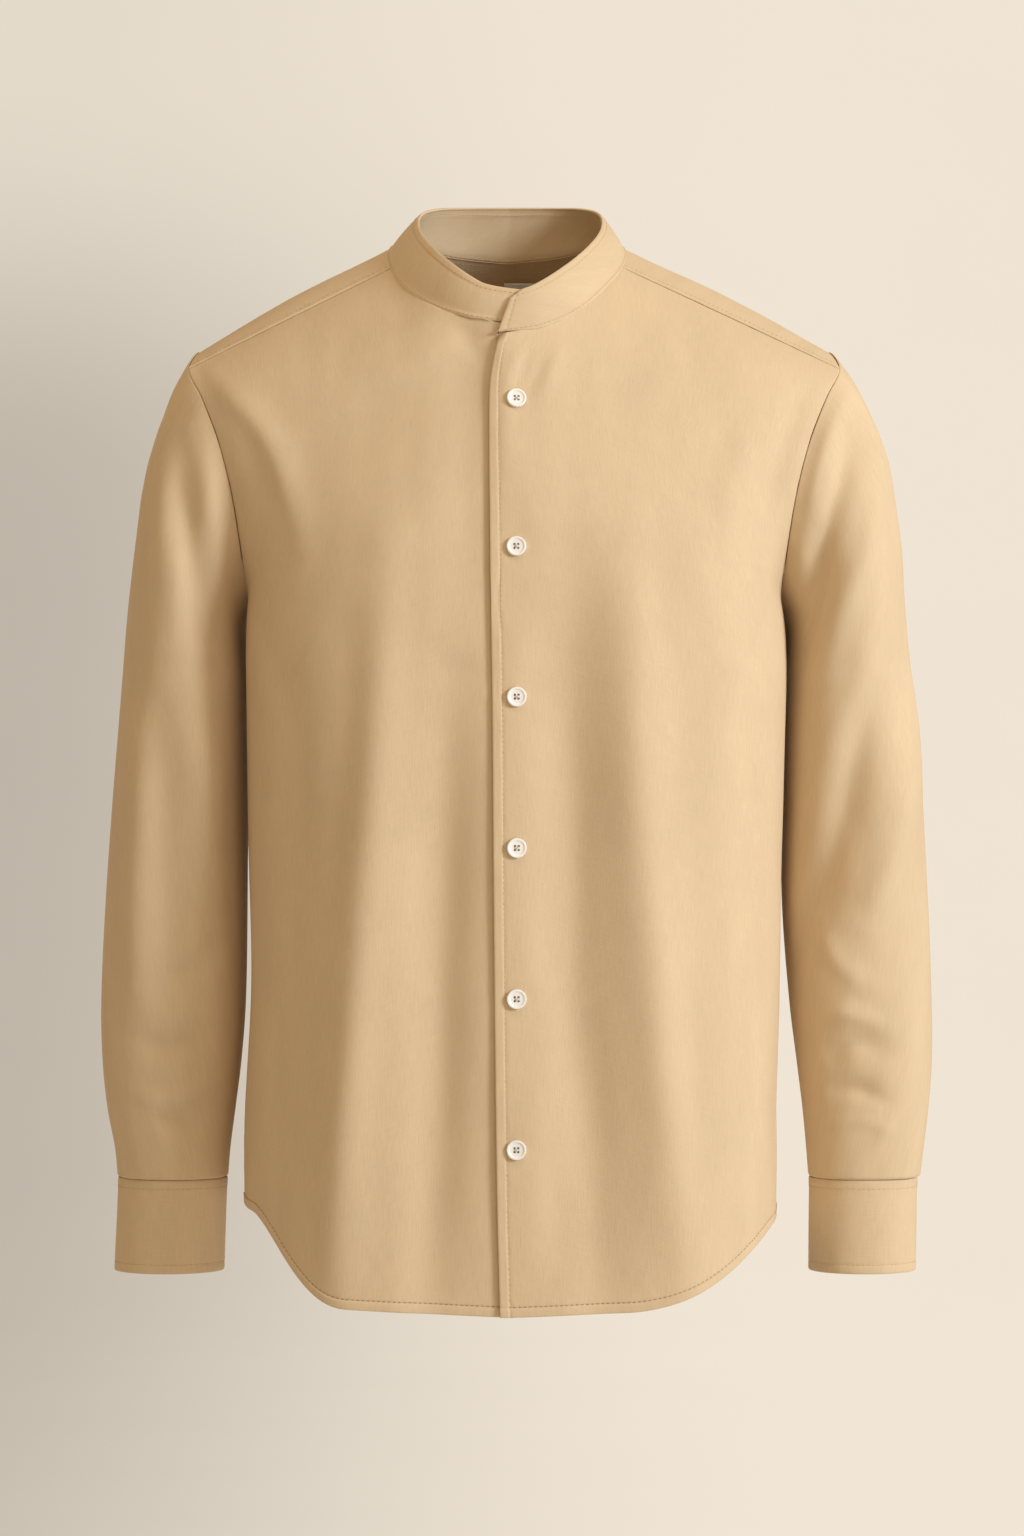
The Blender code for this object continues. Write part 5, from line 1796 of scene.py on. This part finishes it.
def painted_shade_slit_material():
    """Painted shade standing for the shaded inside of a buttonhole: the cloth's colour at a tenth to three
    tenths of its brightness.
    """
    colour = bpy.context.scene.shirt_colours.cotton
    finish = Finish("Buttonhole slit", Specular_IOR_Level=0.05)
    fibre = finish.noise(finish.object_place((1800, 1800, 500)), 2.0)
    return finish.apply(
        Base_Color=finish.mix(fibre, shade(colour, 0.10), shade(colour, 0.30)),
        Roughness=0.95 - fibre * 0.1,
        Normal=finish.bump(fibre, 0.0001, 0.5),
    )


# ---------------------------------------------------------------- stage

CAMERA_PLACE = (-0.0014, -3.1, -0.3626)
CAMERA_LENS = 103.8
CAMERA_SENSOR = 36.0
SURROUNDINGS = (0.80, 0.57, 0.32, 1)
SURROUNDINGS_STRENGTH = 0.62
FLOOR = -1.35
WALL = 6.5               # how far behind the shirt the wall stands


def backdrop_material():
    """Matt backdrop over the wall and the floor that glows pale by its own emission, with painted shade:
    darker towards the left and lower down, lighter towards the right and the top.
    """
    colour = bpy.context.scene.shirt_colours.backdrop
    # the backdrop glows by its own emission; its base colour is nearly black
    finish = Finish("Backdrop glow with painted shade", Roughness=0.95, Specular_IOR_Level=0.1, Emission_Strength=1.0)
    place = finish.node("ShaderNodeTexCoord", output="Object")
    across = finish.node("ShaderNodeSeparateXYZ", inputs={0: place}, output="X")
    up = finish.node("ShaderNodeSeparateXYZ", inputs={0: place}, output="Z")
    # painted shade: the glow dims towards the left, as a shadow cast by a light from the right
    painted_shade_ramp = finish.node("ShaderNodeMapRange", {"interpolation_type": "SMOOTHERSTEP"},
                       {"Value": across, "From Min": -1.25, "From Max": 0.55, "To Min": 0.0, "To Max": 1.0})
    # painted light: the glow brightens towards the top
    high = finish.node("ShaderNodeMapRange", {"interpolation_type": "SMOOTHERSTEP"},
                       {"Value": up, "From Min": 0.1, "From Max": 1.25, "To Min": 0.0, "To Max": 0.75})
    light = 1.0 - (1.0 - painted_shade_ramp) * (1.0 - high)
    grain = finish.noise(finish.object_place((3, 3, 3)), 2.0)
    # the glow's colour runs from 0.62 to 1.06 of the backdrop colour by this painted shade
    tone = finish.mix(light + (grain - 0.5) * 0.04, shade(colour, 0.62), shade(colour, 1.06))
    return finish.apply(Base_Color=finish.mix(grain, (0.02, 0.02, 0.02, 1), (0.03, 0.03, 0.03, 1)),
                        Emission_Color=tone)


def make_backdrop():
    """Floor that curves up into the wall, as one sheet."""
    profile = [(-6.0, FLOOR), (2.5, FLOOR)]
    bend = 2.2
    for k in range(1, 13):
        angle = math.pi / 2 * k / 12
        profile.append((WALL - bend + bend * math.sin(angle), FLOOR + bend - bend * math.cos(angle)))
    profile.append((WALL, 6.0))
    points = [(x, y, z) for y, z in profile for x in spread(-7.0, 7.0, 8)]
    faces = []
    for r in range(len(profile) - 1):
        for c in range(8):
            a = r * 9 + c
            faces.append((a, a + 1, a + 10, a + 9))
    mesh = bpy.data.meshes.new("backdrop")
    mesh.from_pydata(points, [], faces)
    mesh.shade_smooth()
    mesh.materials.append(backdrop_material())
    item = bpy.data.objects.new("backdrop", mesh)
    bpy.context.scene.collection.objects.link(item)


def add_lamp(name, place, target, size, power, colour):
    data = bpy.data.lights.new(name, "AREA")
    data.shape = "DISK"
    data.size = size
    data.energy = power
    data.color = colour
    lamp = bpy.data.objects.new(name, data)
    lamp.location = place
    lamp.rotation_euler = (Vector(target) - Vector(place)).to_track_quat("-Z", "Y").to_euler()
    bpy.context.scene.collection.objects.link(lamp)


class SHIRT_OT_stage(bpy.types.Operator):
    """Set up the camera, the soft light and the pale backdrop"""

    bl_idname = "shirt.stage"
    bl_label = "Set the stage"

    def execute(self, context):
        scene = context.scene
        data = bpy.data.cameras.new("Camera")
        data.lens = CAMERA_LENS
        data.sensor_width = CAMERA_SENSOR
        camera = bpy.data.objects.new("Camera", data)
        camera.location = CAMERA_PLACE
        camera.rotation_euler = (math.pi / 2, 0, 0)
        scene.collection.objects.link(camera)
        scene.camera = camera
        scene.view_settings.view_transform = "Standard"
        world = bpy.data.worlds.new("Studio")
        world.use_nodes = True
        world.node_tree.nodes["Background"].inputs["Color"].default_value = SURROUNDINGS
        world.node_tree.nodes["Background"].inputs["Strength"].default_value = SURROUNDINGS_STRENGTH
        scene.world = world
        add_lamp("Key", (3.2, -2.1, 0.85), (0.0, 0.0, -0.4), 1.3, 134, (0.81, 0.90, 1.0))
        add_lamp("Top", (0.2, -1.3, 2.3), (0.0, 0.0, 0.0), 1.2, 17, (1.0, 0.95, 0.86))
        make_backdrop()
        return {"FINISHED"}


class SHIRT_PT_panel(bpy.types.Panel):
    """Steps and settings of the shirt"""

    bl_idname = "SHIRT_PT_panel"
    bl_label = "Mandarin collar shirt"
    bl_space_type = "VIEW_3D"
    bl_region_type = "UI"
    bl_category = "Shirt"

    def draw(self, context):
        layout = self.layout
        for group in (context.scene.shirt_sizes, context.scene.shirt_colours):
            box = layout.box()
            for name in group.__annotations__:
                box.prop(group, name)
        for step in STEPS:
            layout.operator(step.bl_idname)


STEPS = (
    SHIRT_OT_fronts, SHIRT_OT_back, SHIRT_OT_yoke, SHIRT_OT_sleeves, SHIRT_OT_cuffs, SHIRT_OT_collar,
    SHIRT_OT_label, SHIRT_OT_buttons, SHIRT_OT_stage,
)
CLASSES = (ShirtSizes, ShirtColours, *STEPS, SHIRT_PT_panel)


def register():
    for item in CLASSES:
        bpy.utils.register_class(item)
    bpy.types.Scene.shirt_sizes = PointerProperty(type=ShirtSizes)
    bpy.types.Scene.shirt_colours = PointerProperty(type=ShirtColours)


def unregister():
    del bpy.types.Scene.shirt_colours
    del bpy.types.Scene.shirt_sizes
    for item in reversed(CLASSES):
        bpy.utils.unregister_class(item)


def main():
    register()
    bpy.ops.shirt.fronts()
    bpy.ops.shirt.back()
    bpy.ops.shirt.yoke()
    bpy.ops.shirt.sleeves()
    bpy.ops.shirt.cuffs()
    bpy.ops.shirt.collar()
    bpy.ops.shirt.label()
    bpy.ops.shirt.buttons()
    bpy.ops.shirt.stage()


if __name__ == "__main__":
    main()
